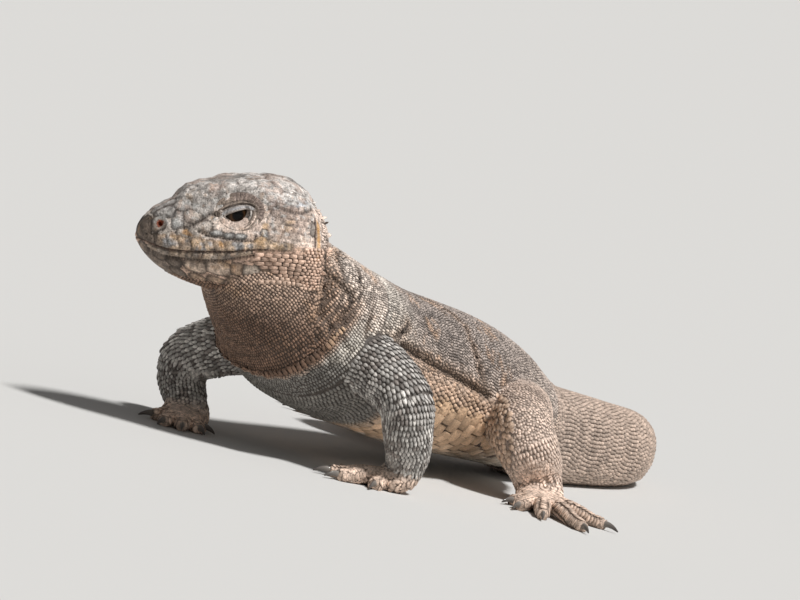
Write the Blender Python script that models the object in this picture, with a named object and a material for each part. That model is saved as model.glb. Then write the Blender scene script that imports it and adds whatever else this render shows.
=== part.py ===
# Gran Canaria giant lizard, life size, propped on its forelegs with the head turned right.
# Sizes are in millimetres and become metres when a mesh is made.
# Body frame: +X towards the head, +Y the animal's left, +Z up, floor at Z = 0.

import math

import bmesh
import bpy
import numpy as np
from mathutils import Matrix, Vector

MM = 0.001
GAP = 0.3                 # clearance between pieces that meet

# Driving dimensions
TRUNK_WIDTH = 53.0        # widest place, between fore and hind legs
TAIL_LENGTH = 338.0       # vent to tip
VENT_X = -18.0
HEAD_HEADING = -45.0      # degrees from +X, so the head looks to its right
HEAD_PITCH = -5.5         # degrees, snout slightly down
SNOUT_TIP = (155.1, -37.1, 57.8)
EYE_RADIUS = 4.6
LID_THICKNESS = 0.8

SQUARE_ABOVE = 2.2        # section exponents: 2 is an ellipse, more is squarer
SQUARE_BELOW = 2.7
CAP_SMALLEST = 0.03

SKIN_TONES = {
    "head": (0.36, 0.31, 0.26),
    "body": (0.38, 0.33, 0.28),
    "limb": (0.30, 0.29, 0.26),
    "tail": (0.45, 0.37, 0.30),
    "eye": (0.03, 0.02, 0.02),
    "claw": (0.16, 0.14, 0.13),
}

# Neck and trunk, front to back: x, y, z of the centre, half width, height above, depth below
SPINE = [
    (139.0, -19.0, 64.5, 8.0, 6.0, 12.0),
    (133.0, -14.0, 62.0, 15.0, 10.0, 18.5),
    (125.0, -8.0, 57.5, 19.5, 14.0, 23.5),
    (115.0, -2.5, 51.0, 22.5, 17.4, 26.5),
    (104.0, 0.0, 44.0, 25.5, 20.4, 27.0),
    (90.0, 0.0, 38.0, 26.0, 22.5, 24.5),
    (72.0, 0.0, 33.5, 25.5, 23.0, 22.5),
    (50.0, 0.0, 29.5, 26.5, 24.0, 21.5),
    (28.0, 0.0, 26.0, 26.0, 24.4, 19.5),
    (6.0, 0.0, 22.0, 21.5, 23.2, 17.0),
    (-8.0, 0.0, 19.0, 18.8, 21.2, 15.0),
    (-18.0, 0.0, 17.0, 17.4, 18.6, 14.0),
]
NECK_TRUNK_ROW = 4        # the neck ends and the trunk begins on this row

# Collar: a row of plates across the underside of the throat, along the free edge of a skin fold
COLLAR_BEHIND_ROW = (3, 3.6)      # row of the spine, and how far behind it the fold lies
COLLAR_SKEW = 4.0                 # how far the turned head draws its right end forward
COLLAR_LEAN = 0.3                 # how much the free edge of a plate stands out
COLLAR_PLATES = 15
COLLAR_ARC = (194.0, 346.0)       # degrees round the section, left to right below
COLLAR_PLATE = (2.9, 2.35, 1.3)   # half length, half width and half thickness of one plate

# Tail: share of its length, heading in degrees from -X towards -Y, half width, height above, depth below
TAIL = [
    (0.0, 0.0, 17.4, 18.6, 14.0),
    (0.08, 0.0, 15.8, 15.4, 14.2),
    (0.16, 4.0, 14.4, 13.4, 13.4),
    (0.24, 22.0, 12.8, 12.0, 12.0),
    (0.33, 54.0, 10.8, 10.4, 10.4),
    (0.44, 70.0, 8.8, 8.6, 8.6),
    (0.58, 56.0, 6.6, 6.5, 6.4),
    (0.74, 26.0, 4.6, 4.5, 4.4),
    (0.88, 2.0, 2.8, 2.8, 2.7),
    (1.0, -8.0, 1.1, 1.1, 1.0),
]
TAIL_PIECES = [(0.0, 9, 22), (0.16, 10, 18), (0.36, 10, 14), (0.62, 12, 10)]  # start, rings, columns
TAIL_STEPS = 60
TAIL_TOUCHES = 0.06       # share of its length where the tail comes down to the floor
SOLE_FLAT = 0.25          # how deep the tail is cut flat on the floor

# Head, snout to nape, in its own frame: distance behind the snout tip, then for the half section
# the height on the midline and the half width and height of each edge down to the chin
HEAD_AT = [0.4, 1.6, 4.0, 7.0, 10.0, 12.0, 16.0, 22.0, 28.0, 34.0, 40.0, 45.0, 50.0, 53.5]
HEAD = {
    "crown_z": [1.6, 4.0, 6.8, 8.8, 11.6, 15.4, 17.2, 18.6, 20.2, 21.8, 22.6, 21.9, 18.8, 14.0],
    "brow_w": [1.2, 2.4, 3.8, 4.9, 5.6, 6.4, 8.2, 10.4, 12.2, 13.2, 13.8, 14.2, 14.0, 13.2],
    "brow_z": [1.2, 3.5, 6.2, 8.4, 10.4, 12.8, 15.2, 17.4, 18.8, 19.2, 18.8, 17.2, 13.8, 9.4],
    "eye_w": [1.4, 3.0, 4.7, 6.0, 7.0, 7.9, 9.6, 11.4, 12.6, 14.8, 17.2, 18.6, 18.4, 17.0],
    "eye_z": [0.2, 1.8, 3.8, 5.2, 6.6, 7.8, 9.4, 10.8, 11.4, 11.4, 10.8, 9.8, 8.0, 5.0],
    "cheek_w": [1.4, 3.2, 5.3, 7.2, 8.8, 9.8, 11.8, 14.0, 16.0, 18.2, 19.8, 20.6, 20.2, 18.6],
    "cheek_z": [-0.8, 0.2, 1.0, 1.4, 1.8, 2.2, 3.0, 3.8, 4.4, 5.0, 5.0, 4.6, 3.0, 0.0],
    "lip_w": [1.3, 3.2, 5.6, 7.8, 9.6, 10.8, 13.0, 15.4, 17.4, 19.0, 20.0, 20.5, 20.2, 18.8],
    "lip_z": [-2.1, -2.5, -3.0, -3.5, -3.75, -3.6, -2.9, -1.7, -0.7, 1.0, 1.7, 2.1, 1.0, -1.5],
    "jaw_w": [0.8, 2.2, 4.2, 6.4, 8.2, 9.4, 11.5, 13.8, 15.6, 17.0, 18.0, 18.8, 19.2, 18.4],
    "jaw_z": [-3.0, -3.9, -5.2, -6.3, -7.0, -7.3, -7.6, -7.4, -6.9, -6.0, -5.4, -5.2, -5.6, -7.0],
    "edge_w": [0.5, 1.4, 2.8, 4.4, 5.8, 6.6, 8.4, 10.4, 12.0, 13.0, 13.6, 14.2, 15.0, 15.2],
    "edge_z": [-3.5, -4.7, -6.7, -8.4, -9.6, -10.2, -11.2, -12.0, -12.2, -11.9, -11.7, -11.8, -12.4, -13.4],
    "chin_z": [-3.7, -5.1, -7.2, -9.2, -10.6, -11.3, -12.5, -13.8, -14.6, -15.0, -15.4, -16.0, -16.6, -17.2],
}
LIP_CORNER = 44.5
LIP_DEPTH = 1.0
LIP_HALF_GAP = 0.55
UPPER_LABIAL_SEAMS = [4.6, 8.8, 13.2, 18.0, 23.4, 29.6, 37.0]
LOWER_LABIAL_SEAMS = [6.4, 11.6, 17.4, 23.6, 30.4, 38.0]
CHIN_SEAMS = [7.6, 13.4, 21.6, 33.0]
CROWN_SEAMS = [10.4, 15.6, 21.6, 35.6, 42.0, 50.4]
SEAM_DEPTH = 0.45
SEAM_WIDTH = 0.9
EYE_AT = (27.2, 9.4, 10.3)        # behind the snout tip, to the side, up
EYE_SLIT = (7.2, 3.6)             # length and height of the opening between the lids
EYE_SLIT_TILT = 24.0              # degrees, front corner lower
NOSTRIL_AT = (6.2, 5.3, 3.4)
NOSTRIL_RADIUS = 1.15
EAR_AT = (50.4, 19.4, 9.4)
EAR_SIZE = (2.6, 2.4, 14.5)

# Limbs, root to palm: x, y, z of the centre, half width, half height; the left side has +Y
FORELEG_LEFT = [
    (104.0, 8.0, 38.0, 10.5, 11.0),
    (104.5, 21.0, 36.0, 9.6, 10.0),
    (104.0, 32.5, 32.5, 8.2, 8.6),
    (104.5, 41.0, 27.0, 7.4, 7.8),
    (103.5, 42.5, 19.5, 7.0, 7.2),
    (99.5, 42.0, 12.5, 6.2, 6.4),
    (97.5, 41.0, 7.8, 5.8, 5.4),
    (98.5, 39.4, 4.6, 7.2, 4.4),
    (101.0, 37.2, 2.5, 7.2, 3.0),
]
FORELEG_RIGHT = [
    (102.0, -8.0, 35.0, 10.5, 11.0),
    (102.5, -21.0, 31.0, 9.6, 10.0),
    (103.5, -33.0, 26.0, 8.6, 9.0),
    (104.0, -42.5, 20.5, 7.9, 8.3),
    (104.2, -43.0, 14.5, 7.5, 7.7),
    (104.6, -40.0, 9.2, 6.5, 6.7),
    (105.5, -36.5, 6.2, 5.8, 5.2),
    (108.0, -35.0, 4.0, 7.2, 4.0),
    (111.0, -33.8, 2.5, 7.2, 3.0),
]
HINDLEG_LEFT = [
    (-2.0, 6.0, 22.0, 11.5, 12.0),
    (8.0, 18.0, 22.0, 11.5, 12.5),
    (21.0, 28.0, 24.0, 10.4, 11.5),
    (31.0, 35.0, 24.0, 9.6, 10.4),
    (31.0, 39.5, 18.0, 9.4, 9.6),
    (27.5, 42.0, 12.5, 8.4, 8.6),
    (25.0, 43.0, 8.0, 7.2, 6.8),
    (27.0, 46.0, 5.4, 7.0, 5.0),
    (30.5, 49.5, 2.9, 7.8, 3.4),
]
HINDLEG_RIGHT = [
    (-2.0, -6.0, 22.0, 11.5, 12.0),
    (2.0, -18.0, 21.5, 11.5, 12.5),
    (6.0, -30.0, 22.0, 10.4, 11.5),
    (6.5, -38.5, 20.5, 9.6, 10.4),
    (0.0, -43.0, 16.0, 9.4, 9.6),
    (-8.0, -45.5, 11.5, 8.2, 8.4),
    (-14.0, -47.0, 8.0, 7.0, 6.6),
    (-16.0, -50.5, 5.4, 7.0, 5.0),
    (-17.0, -55.5, 2.9, 7.8, 3.4),
]
LIMB_CUTS = (3, 6)        # the knee or elbow row, and the wrist or ankle row

# Digits: heading in degrees from +X, reach from the palm's last row to the base of the claw
FINGERS = [(-60.0, 9.0), (-34.0, 14.5), (-12.0, 17.5), (8.0, 17.0), (48.0, 10.5)]
TOES = [(-52.0, 13.0), (-31.0, 19.5), (-9.0, 27.0), (12.0, 35.0), (50.0, 23.5)]
HAND_HEADING = {"left": -30.0, "right": 24.0}
FOOT_HEADING = {"left": 44.0, "right": -100.0}
FINGER_RADIUS = 2.0
CLAW_LENGTH = 5.0
DIGIT_LAP = 3.0           # how far a digit reaches back into the palm
# Share of the length, height of the centre above the floor, and size over the radius
DIGIT_ARCH = [(0.0, 2.7, 1.25), (0.35, 3.5, 1.15), (0.62, 3.0, 1.1), (0.85, 1.65, 0.95), (1.0, 1.5, 0.86)]
CLAW_HOOK = [(0.0, 1.75, 0.62), (0.35, 2.1, 0.52), (0.7, 1.6, 0.34), (1.0, 0.7, 0.1)]


def smooth(knots, values, at):
    """Cubic curve through the values, with slopes taken from the neighbours."""
    knots = np.asarray(knots, float)
    values = np.asarray(values, float)
    at = np.clip(np.asarray(at, float), knots[0], knots[-1])
    slopes = np.gradient(values, knots, axis=0)
    i = np.clip(np.searchsorted(knots, at, side="right") - 1, 0, len(knots) - 2)
    step = knots[i + 1] - knots[i]
    t = (at - knots[i]) / step
    if values.ndim > 1:
        t = t[:, None]
        step = step[:, None]
    a = (1 + 2 * t) * (1 - t) ** 2 * values[i] + t * t * (3 - 2 * t) * values[i + 1]
    b = t * (1 - t) ** 2 * slopes[i] - t * t * (1 - t) * slopes[i + 1]
    return a + b * step


def unit(v):
    return v / np.linalg.norm(v)


def make_object(name, points, faces, tone):
    """A mesh object from points in millimetres, with outward faces and its own material."""
    mesh = bpy.data.meshes.new(name)
    mesh.from_pydata([tuple(float(c) * MM for c in p) for p in points], [], faces)
    bm = bmesh.new()
    bm.from_mesh(mesh)
    bmesh.ops.remove_doubles(bm, verts=bm.verts, dist=0.02 * MM)
    bmesh.ops.recalc_face_normals(bm, faces=bm.faces)
    bm.to_mesh(mesh)
    bm.free()
    mesh.shade_smooth()
    obj = bpy.data.objects.new(name, mesh)
    parts.objects.link(obj)
    if tone:
        obj.data.materials.append(skin_material(name, SKIN_TONES[tone], 0.35 if tone == "eye" else 0.8))
    return obj


def skin_material(name, colour, roughness):
    material = bpy.data.materials.new(name)
    material.use_nodes = True
    shader = material.node_tree.nodes["Principled BSDF"]
    shader.inputs["Base Color"].default_value = (*colour, 1.0)
    shader.inputs["Roughness"].default_value = roughness
    shader.inputs["Metallic"].default_value = 0.0
    return material


def tube_faces(rings, columns):
    """Quads between the rings, and a fan to a pole at each end."""
    faces = []
    for r in range(rings - 1):
        for c in range(columns):
            d = (c + 1) % columns
            faces.append((r * columns + c, r * columns + d, (r + 1) * columns + d, (r + 1) * columns + c))
    first = rings * columns
    for c in range(columns):
        d = (c + 1) % columns
        faces.append((first, d, c))
        faces.append((first + 1, (rings - 1) * columns + c, (rings - 1) * columns + d))
    return faces


def path_rows(rows):
    """Distance along the path for each row."""
    steps = np.linalg.norm(np.diff(rows[:, :3], axis=0), axis=1)
    return np.concatenate([[0.0], np.cumsum(steps)])


def stations(start, end, rings, cap_start, cap_end):
    """Distances of the rings, with closer ones where an end is rounded off."""
    at = list(np.linspace(start, end, rings))
    if cap_start:
        at = [start - cap_start * share for share in (1.0, 0.9, 0.6)] + at
    if cap_end:
        at = at + [end + cap_end * share for share in (0.6, 0.9, 1.0)]
    return np.array(at)


def loft(name, rows, start, end, rings, columns, tone, side=None, cap_start=0.0, cap_end=0.0):
    """A tube along the rows between two distances, square below and rounder above."""
    rows = np.asarray(rows, float)
    reach = path_rows(rows)
    at = stations(start, end, rings, cap_start, cap_end)
    row = smooth(reach, rows, at)
    inside = np.clip(at, reach[0] + 0.4, reach[-1] - 0.4)
    ahead = smooth(reach, rows[:, :3], inside + 0.4)
    behind = smooth(reach, rows[:, :3], inside - 0.4)
    points = []
    centres = []
    for k in range(len(at)):
        along = unit(ahead[k] - behind[k])
        level = np.array([-along[1], along[0], 0.0]) if side is None else np.asarray(side, float)
        level = unit(level - along * (level @ along))
        upward = np.cross(along, level)
        centre = row[k, :3] + along * (min(at[k] - reach[0], 0.0) + max(at[k] - reach[-1], 0.0))
        over = 0.0
        if at[k] < start:
            over = (start - at[k]) / cap_start
        if at[k] > end:
            over = (at[k] - end) / cap_end
        squeeze = math.sqrt(max(CAP_SMALLEST, 1 - over ** 2))
        for c in range(columns):
            angle = 2 * math.pi * c / columns
            x, z = math.cos(angle), math.sin(angle)
            square = SQUARE_ABOVE if upward[2] * z > 0 else SQUARE_BELOW
            swell = (abs(x) ** square + abs(z) ** square) ** (-1 / square)
            height = row[k, 4] if z * upward[2] > 0 or len(row[k]) < 6 else row[k, 5]
            points.append(centre + (level * x * row[k, 3] + upward * z * height) * swell * squeeze)
        centres.append(centre)
    points.append(centres[0])
    points.append(centres[-1])
    return make_object(name, points, tube_faces(len(at), columns), tone)


def boolean(obj, other, operation):
    """Applies a Boolean and removes the other object."""
    modifier = obj.modifiers.new("cut", "BOOLEAN")
    modifier.object = other
    modifier.operation = operation
    modifier.solver = "EXACT"
    depsgraph = bpy.context.evaluated_depsgraph_get()
    mesh = bpy.data.meshes.new_from_object(obj.evaluated_get(depsgraph))
    obj.modifiers.clear()
    obj.data = mesh
    bpy.data.objects.remove(other)
    keep_largest(obj)


def keep_largest(obj):
    """Keeps the largest closed surface and drops loose scraps and sealed hollows."""
    bm = bmesh.new()
    bm.from_mesh(obj.data)
    bmesh.ops.remove_doubles(bm, verts=bm.verts, dist=0.01 * MM)
    bmesh.ops.dissolve_degenerate(bm, dist=0.005 * MM, edges=bm.edges)
    left = set(bm.faces)
    shells = []
    while left:
        seed = left.pop()
        shell = [seed]
        queue = [seed]
        while queue:
            for edge in queue.pop().edges:
                for face in edge.link_faces:
                    if face in left:
                        left.remove(face)
                        shell.append(face)
                        queue.append(face)
        shells.append(shell)
    shells.sort(key=lambda shell: -sum(face.calc_area() for face in shell))
    scraps = [face for shell in shells[1:] for face in shell]
    bmesh.ops.delete(bm, geom=scraps, context="FACES")
    bmesh.ops.triangulate(bm, faces=bm.faces)
    bm.to_mesh(obj.data)
    bm.free()


def flatten_soles(obj):
    """Everything below the floor is cut off, which leaves small flats at Z = 0."""
    bm = bmesh.new()
    bm.from_mesh(obj.data)
    geometry = list(bm.verts) + list(bm.edges) + list(bm.faces)
    bmesh.ops.bisect_plane(bm, geom=geometry, dist=0.03 * MM, plane_co=(0, 0, 0), plane_no=(0, 0, 1),
                           clear_inner=True)
    for vertex in bm.verts:
        if abs(vertex.co.z) < 0.03 * MM:
            vertex.co.z = 0.0
    bmesh.ops.holes_fill(bm, edges=[edge for edge in bm.edges if edge.is_boundary])
    bmesh.ops.remove_doubles(bm, verts=bm.verts, dist=0.03 * MM)
    bmesh.ops.dissolve_degenerate(bm, dist=0.01 * MM, edges=bm.edges)
    bmesh.ops.triangulate(bm, faces=bm.faces)
    bmesh.ops.recalc_face_normals(bm, faces=bm.faces)
    bm.to_mesh(obj.data)
    bm.free()


def grown(obj, gap=GAP):
    """A copy swollen along its normals, to cut its neighbour clear of it."""
    copy = obj.copy()
    copy.data = obj.data.copy()
    parts.objects.link(copy)
    bm = bmesh.new()
    bm.from_mesh(copy.data)
    bm.normal_update()
    moves = [(v, v.normal.copy()) for v in bm.verts]
    for v, normal in moves:
        v.co += normal * gap * MM
    bm.to_mesh(copy.data)
    bm.free()
    return copy


def head_frame():
    """Rows of the matrix are forward, left and up of the head."""
    turn = Matrix.Rotation(math.radians(HEAD_HEADING), 3, "Z")
    nod = Matrix.Rotation(math.radians(-HEAD_PITCH), 3, "Y")
    frame = turn @ nod
    return [np.array(frame @ Vector(axis)) for axis in ((1, 0, 0), (0, 1, 0), (0, 0, 1))]


def head_point(behind, side, up):
    forward, left, top = head_frame()
    return np.array(SNOUT_TIP) - forward * behind + left * side + top * up


def seams(at, places):
    """Depth of the grooves between the shields at a distance behind the snout."""
    return SEAM_DEPTH * sum(math.exp(-(((at - place) / SEAM_WIDTH) ** 2)) for place in places)


def half_section(at):
    """Half outline of the head from crown to chin, as side and height pairs."""
    value = {key: float(smooth(HEAD_AT, HEAD[key], [at])[0]) for key in HEAD}
    open_lip = min(1.0, max(0.0, (LIP_CORNER - at) / 6.0)) * min(1.0, at / 3.0)
    lip_w, lip_z = value["lip_w"], value["lip_z"]
    gap = LIP_HALF_GAP * min(1.0, at / 3.0)
    upper = [
        (0.0, value["crown_z"]),
        (value["brow_w"], value["brow_z"]),
        (value["eye_w"], value["eye_z"]),
        (value["cheek_w"], value["cheek_z"]),
        (lip_w, lip_z + gap),
    ]
    lower = [
        (lip_w - 0.35 * open_lip, lip_z - gap),
        (value["jaw_w"], value["jaw_z"]),
        (value["edge_w"], value["edge_z"]),
        (0.0, value["chin_z"]),
    ]
    fine_upper = subdivided(upper, [5, 4, 4, 3])
    fine_lower = subdivided(lower, [3, 3, 3])
    outline = []
    for k, (w, z) in enumerate(fine_upper):
        groove = 0.0
        if k in (13, 14):
            groove = seams(at, UPPER_LABIAL_SEAMS) * open_lip
        if k in (1, 2, 3, 4, 5):
            groove = seams(at, CROWN_SEAMS)
        rim = 0.3 if k == 4 and 12 < at < 50 else 0.0
        outline.append((w - (groove if k > 5 else 0.0), z - (groove + rim if k <= 5 else 0.0)))
    outline.append((lip_w - LIP_DEPTH * open_lip, lip_z))
    for k, (w, z) in enumerate(fine_lower):
        groove = 0.0
        if k == 1:
            groove = seams(at, LOWER_LABIAL_SEAMS) * open_lip
        if k in (4, 5):
            groove = seams(at, CHIN_SEAMS)
        if k == 2:
            groove = 0.4 * open_lip
        outline.append((w - groove, z))
    return outline


def subdivided(corners, counts):
    corners = np.array(corners)
    reach = np.concatenate([[0.0], np.cumsum(np.linalg.norm(np.diff(corners, axis=0), axis=1))])
    at = [0.0]
    for k, count in enumerate(counts):
        at += list(reach[k] + (reach[k + 1] - reach[k]) * np.arange(1, count + 1) / count)
    return smooth(reach, corners, at)


def head_stations():
    front = [0.4, 1.0, 1.9, 3.0]
    middle = list(np.arange(4.6, 53.7, 1.75))
    return front + middle


def make_head():
    rings = head_stations()
    points = []
    columns = 0
    for at in rings:
        half = half_section(at)
        full = half + [(-w, z) for w, z in reversed(half[1:-1])]
        columns = len(full)
        for w, z in full:
            overbite = 0.9 * max(0.0, 1 - at / 12.0) if z < -2.6 else 0.0
            points.append(head_point(at + overbite, w, z))
    for behind, share in ((55.2, 0.92), (56.6, 0.76), (57.6, 0.5)):
        for w, z in full:
            points.append(head_point(behind, w * share, -2.0 + (z + 2.0) * share))
    points.append(head_point(0.0, 0.0, -2.0))
    points.append(head_point(58.0, 0.0, -2.0))
    head = make_object("head", points, tube_faces(len(rings) + 3, columns), "head")
    for side in (1, -1):
        add_orbit(head, side)
        add_nostril(head, side)
        add_ear(head, side)
    return head


def ball(name, centre, radii, axes, columns=20, rings=12):
    """An ellipsoid with its radii along the given axes."""
    bm = bmesh.new()
    bmesh.ops.create_uvsphere(bm, u_segments=columns, v_segments=rings, radius=1.0)
    points = [sum((axis * r * c for axis, r, c in zip(axes, radii, v.co)), centre) for v in bm.verts]
    faces = [[v.index for v in face.verts] for face in bm.faces]
    bm.free()
    return make_object(name, points, faces, None)


def eye_axes(side):
    """Along the slit, outwards, and across the slit."""
    forward, left, top = head_frame()
    tilt = math.radians(EYE_SLIT_TILT)
    out = unit(left * side + forward * 0.22 + top * 0.08)
    along = unit(-forward * math.cos(tilt) + top * math.sin(tilt))
    along = unit(along - out * (along @ out))
    across = np.cross(along, out)
    return along, out, across


def add_orbit(head, side):
    """Lids as a dome over the eyeball with an almond opening, and a hollow for the eyeball."""
    along, out, across = eye_axes(side)
    centre = head_point(EYE_AT[0], EYE_AT[1] * side, EYE_AT[2])
    lid = EYE_RADIUS + LID_THICKNESS
    boolean(head, ball("lids", centre, (lid * 1.12, lid, lid * 0.98), (along, out, across)), "UNION")
    slit = ball("slit", centre + out * EYE_RADIUS, (EYE_SLIT[0] / 2, 3.2, EYE_SLIT[1] / 2),
                (along, out, across), 16, 8)
    boolean(head, slit, "DIFFERENCE")
    boolean(head, ball("socket", centre, [EYE_RADIUS + GAP] * 3, (along, out, across)), "DIFFERENCE")


def add_nostril(head, side):
    forward, left, top = head_frame()
    centre = head_point(NOSTRIL_AT[0], NOSTRIL_AT[1] * side, NOSTRIL_AT[2])
    out = unit(left * side - forward * 0.1)
    rim = ball("rim", centre - out * 0.6, (2.3, 1.0, 2.0), (forward, out, top), 12, 8)
    boolean(head, rim, "UNION")
    pit = ball("pit", centre, (NOSTRIL_RADIUS, 1.6, NOSTRIL_RADIUS), (forward, out, top), 10, 6)
    boolean(head, pit, "DIFFERENCE")


def add_ear(head, side):
    forward, left, top = head_frame()
    lean = unit(top + forward * 0.12)
    centre = head_point(EAR_AT[0], EAR_AT[1] * side, EAR_AT[2])
    pit = ball("ear", centre, [s / 2 for s in EAR_SIZE], (forward, left, lean), 10, 10)
    boolean(head, pit, "DIFFERENCE")


def make_eye(name, side):
    centre = head_point(EYE_AT[0], EYE_AT[1] * side, EYE_AT[2])
    along, out, across = eye_axes(side)
    eye = ball(name, centre, [EYE_RADIUS] * 3, (along, across, out), 16, 8)
    eye.data.materials.append(skin_material(name, SKIN_TONES["eye"], 0.2))
    return eye


def body_path():
    """Rows of the neck and trunk, and then of the tail from its length and headings."""
    spine = np.array(SPINE)
    spine[:, 3] *= TRUNK_WIDTH / (2 * spine[:, 3].max())
    table = np.array(TAIL)
    share = np.linspace(0.0, 1.0, TAIL_STEPS + 1)
    shape = smooth(table[:, 0], table[:, 1:], share)
    x, y = VENT_X, 0.0
    lift = spine[-1, 2] - spine[-1, 5]
    rows = []
    for k in range(1, TAIL_STEPS + 1):
        heading, half, rise, drop = shape[k]
        x -= math.cos(math.radians(heading)) * TAIL_LENGTH / TAIL_STEPS
        y -= math.sin(math.radians(heading)) * TAIL_LENGTH / TAIL_STEPS
        above = (lift + SOLE_FLAT) * max(0.0, 1 - share[k] / TAIL_TOUCHES) ** 2 - SOLE_FLAT
        rows.append((x, y, drop + above, half, rise, drop))
    return np.vstack([spine, rows])


def make_body():
    """Neck, trunk and tail lengths along one path."""
    path = body_path()
    reach = path_rows(path)
    collar = reach[NECK_TRUNK_ROW]
    vent = reach[len(SPINE) - 1]
    tail = reach[-1] - vent
    body = {
        "neck": loft("neck", path, 0.0, collar - GAP / 2, 11, 28, "body", cap_start=3.0),
        "torso": loft("torso", path, collar + GAP / 2, vent - GAP / 2, 24, 28, "body"),
    }
    for k, (share, rings, columns) in enumerate(TAIL_PIECES):
        name = f"tail_{k + 1}"
        ends = TAIL_PIECES[k + 1][0] if k + 1 < len(TAIL_PIECES) else 1.0
        body[name] = loft(name, path, vent + share * tail + GAP / 2, vent + ends * tail - GAP / 2,
                          rings, columns, "tail", cap_end=1.0 if ends == 1.0 else 0.0)
        flatten_soles(body[name])
    return body


def add_collar(neck):
    """Plates side by side round the underside of the throat, each leaning a little outwards."""
    path = body_path()
    reach = path_rows(path)
    row, behind = COLLAR_BEHIND_ROW
    middle = reach[row] + behind
    for angle in np.radians(np.linspace(*COLLAR_ARC, COLLAR_PLATES)):
        x, z = math.cos(angle), math.sin(angle)
        at = middle - COLLAR_SKEW * x
        section = smooth(reach, path, [at])[0]
        ahead, after = smooth(reach, path[:, :3], [at - 0.4, at + 0.4])
        along = unit(after - ahead)
        level = unit(np.array([-along[1], along[0], 0.0]))
        upward = np.cross(along, level)
        swell = (abs(x) ** SQUARE_BELOW + abs(z) ** SQUARE_BELOW) ** (-1 / SQUARE_BELOW)
        half, drop = section[3], section[5]
        spot = section[:3] + (level * x * half + upward * z * drop) * swell
        out = unit(level * x / half + upward * z / drop)
        around = unit(np.cross(along, out))
        plate = ball("plate", spot, COLLAR_PLATE, (unit(along + out * COLLAR_LEAN), around, out), 6, 4)
        boolean(neck, plate, "UNION")


def limb(kind, side, rows, heading, digits):
    """Upper and lower length and the foot, with five digits and their claws."""
    rows = np.array(rows)
    reach = path_rows(rows)
    radians = math.radians(heading)
    level = (-math.sin(radians), math.cos(radians), 0.0)
    elbow, wrist = LIMB_CUTS
    upper_name, lower_name, foot_name = kind
    upper = loft(f"{upper_name}_{side}", rows[:elbow + 1], 0.0, reach[elbow], 6, 14, "limb",
                 side=level, cap_end=rows[elbow, 3] * 0.7)
    lower = loft(f"{lower_name}_{side}", rows[elbow:wrist + 1], 0.0, reach[wrist] - reach[elbow], 6, 14,
                 "limb", side=level, cap_start=rows[elbow, 3] * 0.7)
    boolean(lower, grown(upper), "DIFFERENCE")
    foot = loft(f"{foot_name}_{side}", rows[wrist:], 0.0, reach[-1] - reach[wrist], 4, 14, "limb",
                side=level, cap_start=rows[wrist, 3] * 0.5, cap_end=2.5)
    boolean(foot, grown(lower), "DIFFERENCE")
    palm = rows[-1, :3]
    for k, (turn, length) in enumerate(digits):
        angle = math.radians(heading + turn * (1 if side == "left" else -1))
        add_digit(foot, f"claw_{foot_name}_{side}_{k + 1}", palm, angle, length)
    flatten_soles(foot)
    keep_largest(foot)
    return upper, lower, foot


def add_digit(foot, claw_name, palm, angle, length):
    """A digit arched over its knuckle, joined to the foot, and a hooked claw clear of its end."""
    way = np.array([math.cos(angle), math.sin(angle), 0.0])
    across = np.array([-way[1], way[0], 0.0])
    base = palm - way * DIGIT_LAP
    radius = FINGER_RADIUS
    rows = []
    for share, up, size in DIGIT_ARCH:
        centre = base + way * (DIGIT_LAP + length) * share
        rows.append((centre[0], centre[1], up, radius * size, radius * size * 0.95))
    rows = np.array(rows)
    reach = path_rows(rows)[-1]
    digit = loft("digit", rows, 0.0, reach, 7, 8, None, side=across)
    boolean(foot, digit, "UNION")
    tip = rows[-1, :3]
    hook = []
    for share, up, size in CLAW_HOOK:
        centre = tip + way * (GAP + CLAW_LENGTH * share)
        hook.append((centre[0], centre[1], up, radius * size * 0.75, radius * size))
    hook = np.array(hook)
    claw = loft(claw_name, hook, 0.0, path_rows(hook)[-1], 4, 6, "claw", side=across)
    claw.data.materials[0].node_tree.nodes["Principled BSDF"].inputs["Roughness"].default_value = 0.45


def settle(objects):
    """Moves the model so that the middle of its box's underside is the origin."""
    low = np.full(3, np.inf)
    high = np.full(3, -np.inf)
    for obj in objects:
        for v in obj.data.vertices:
            low = np.minimum(low, v.co)
            high = np.maximum(high, v.co)
    middle = (low + high) / 2
    for obj in objects:
        obj.location = (-middle[0], -middle[1], -low[2])


for obj in list(bpy.data.objects):
    bpy.data.objects.remove(obj)
parts = bpy.data.collections.new("gran_canaria_giant_lizard")
bpy.context.scene.collection.children.link(parts)

head = make_head()
make_eye("eye_left", 1)
make_eye("eye_right", -1)
body = make_body()
boolean(body["neck"], grown(head), "DIFFERENCE")
add_collar(body["neck"])
arm = ("upper_arm", "forearm", "hand")
leg = ("thigh", "shank", "foot")
for kind, side, rows, heading, digits in (
    (arm, "left", FORELEG_LEFT, HAND_HEADING["left"], FINGERS),
    (arm, "right", FORELEG_RIGHT, HAND_HEADING["right"], FINGERS),
    (leg, "left", HINDLEG_LEFT, FOOT_HEADING["left"], TOES),
    (leg, "right", HINDLEG_RIGHT, FOOT_HEADING["right"], TOES),
):
    upper, lower, foot = limb(kind, side, rows, heading, digits)
    boolean(upper, grown(body["torso"]), "DIFFERENCE")
    if kind is arm:
        boolean(upper, grown(body["neck"]), "DIFFERENCE")
settle(list(parts.objects))
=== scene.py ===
# The looks of the Gran Canaria giant lizard: one skin over the solids, with shields, scales, lids and claws
import math
import random

import bmesh
import bpy
import numpy as np
from mathutils import Matrix, Vector
from mathutils.bvhtree import BVHTree
from mathutils.kdtree import KDTree


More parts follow.
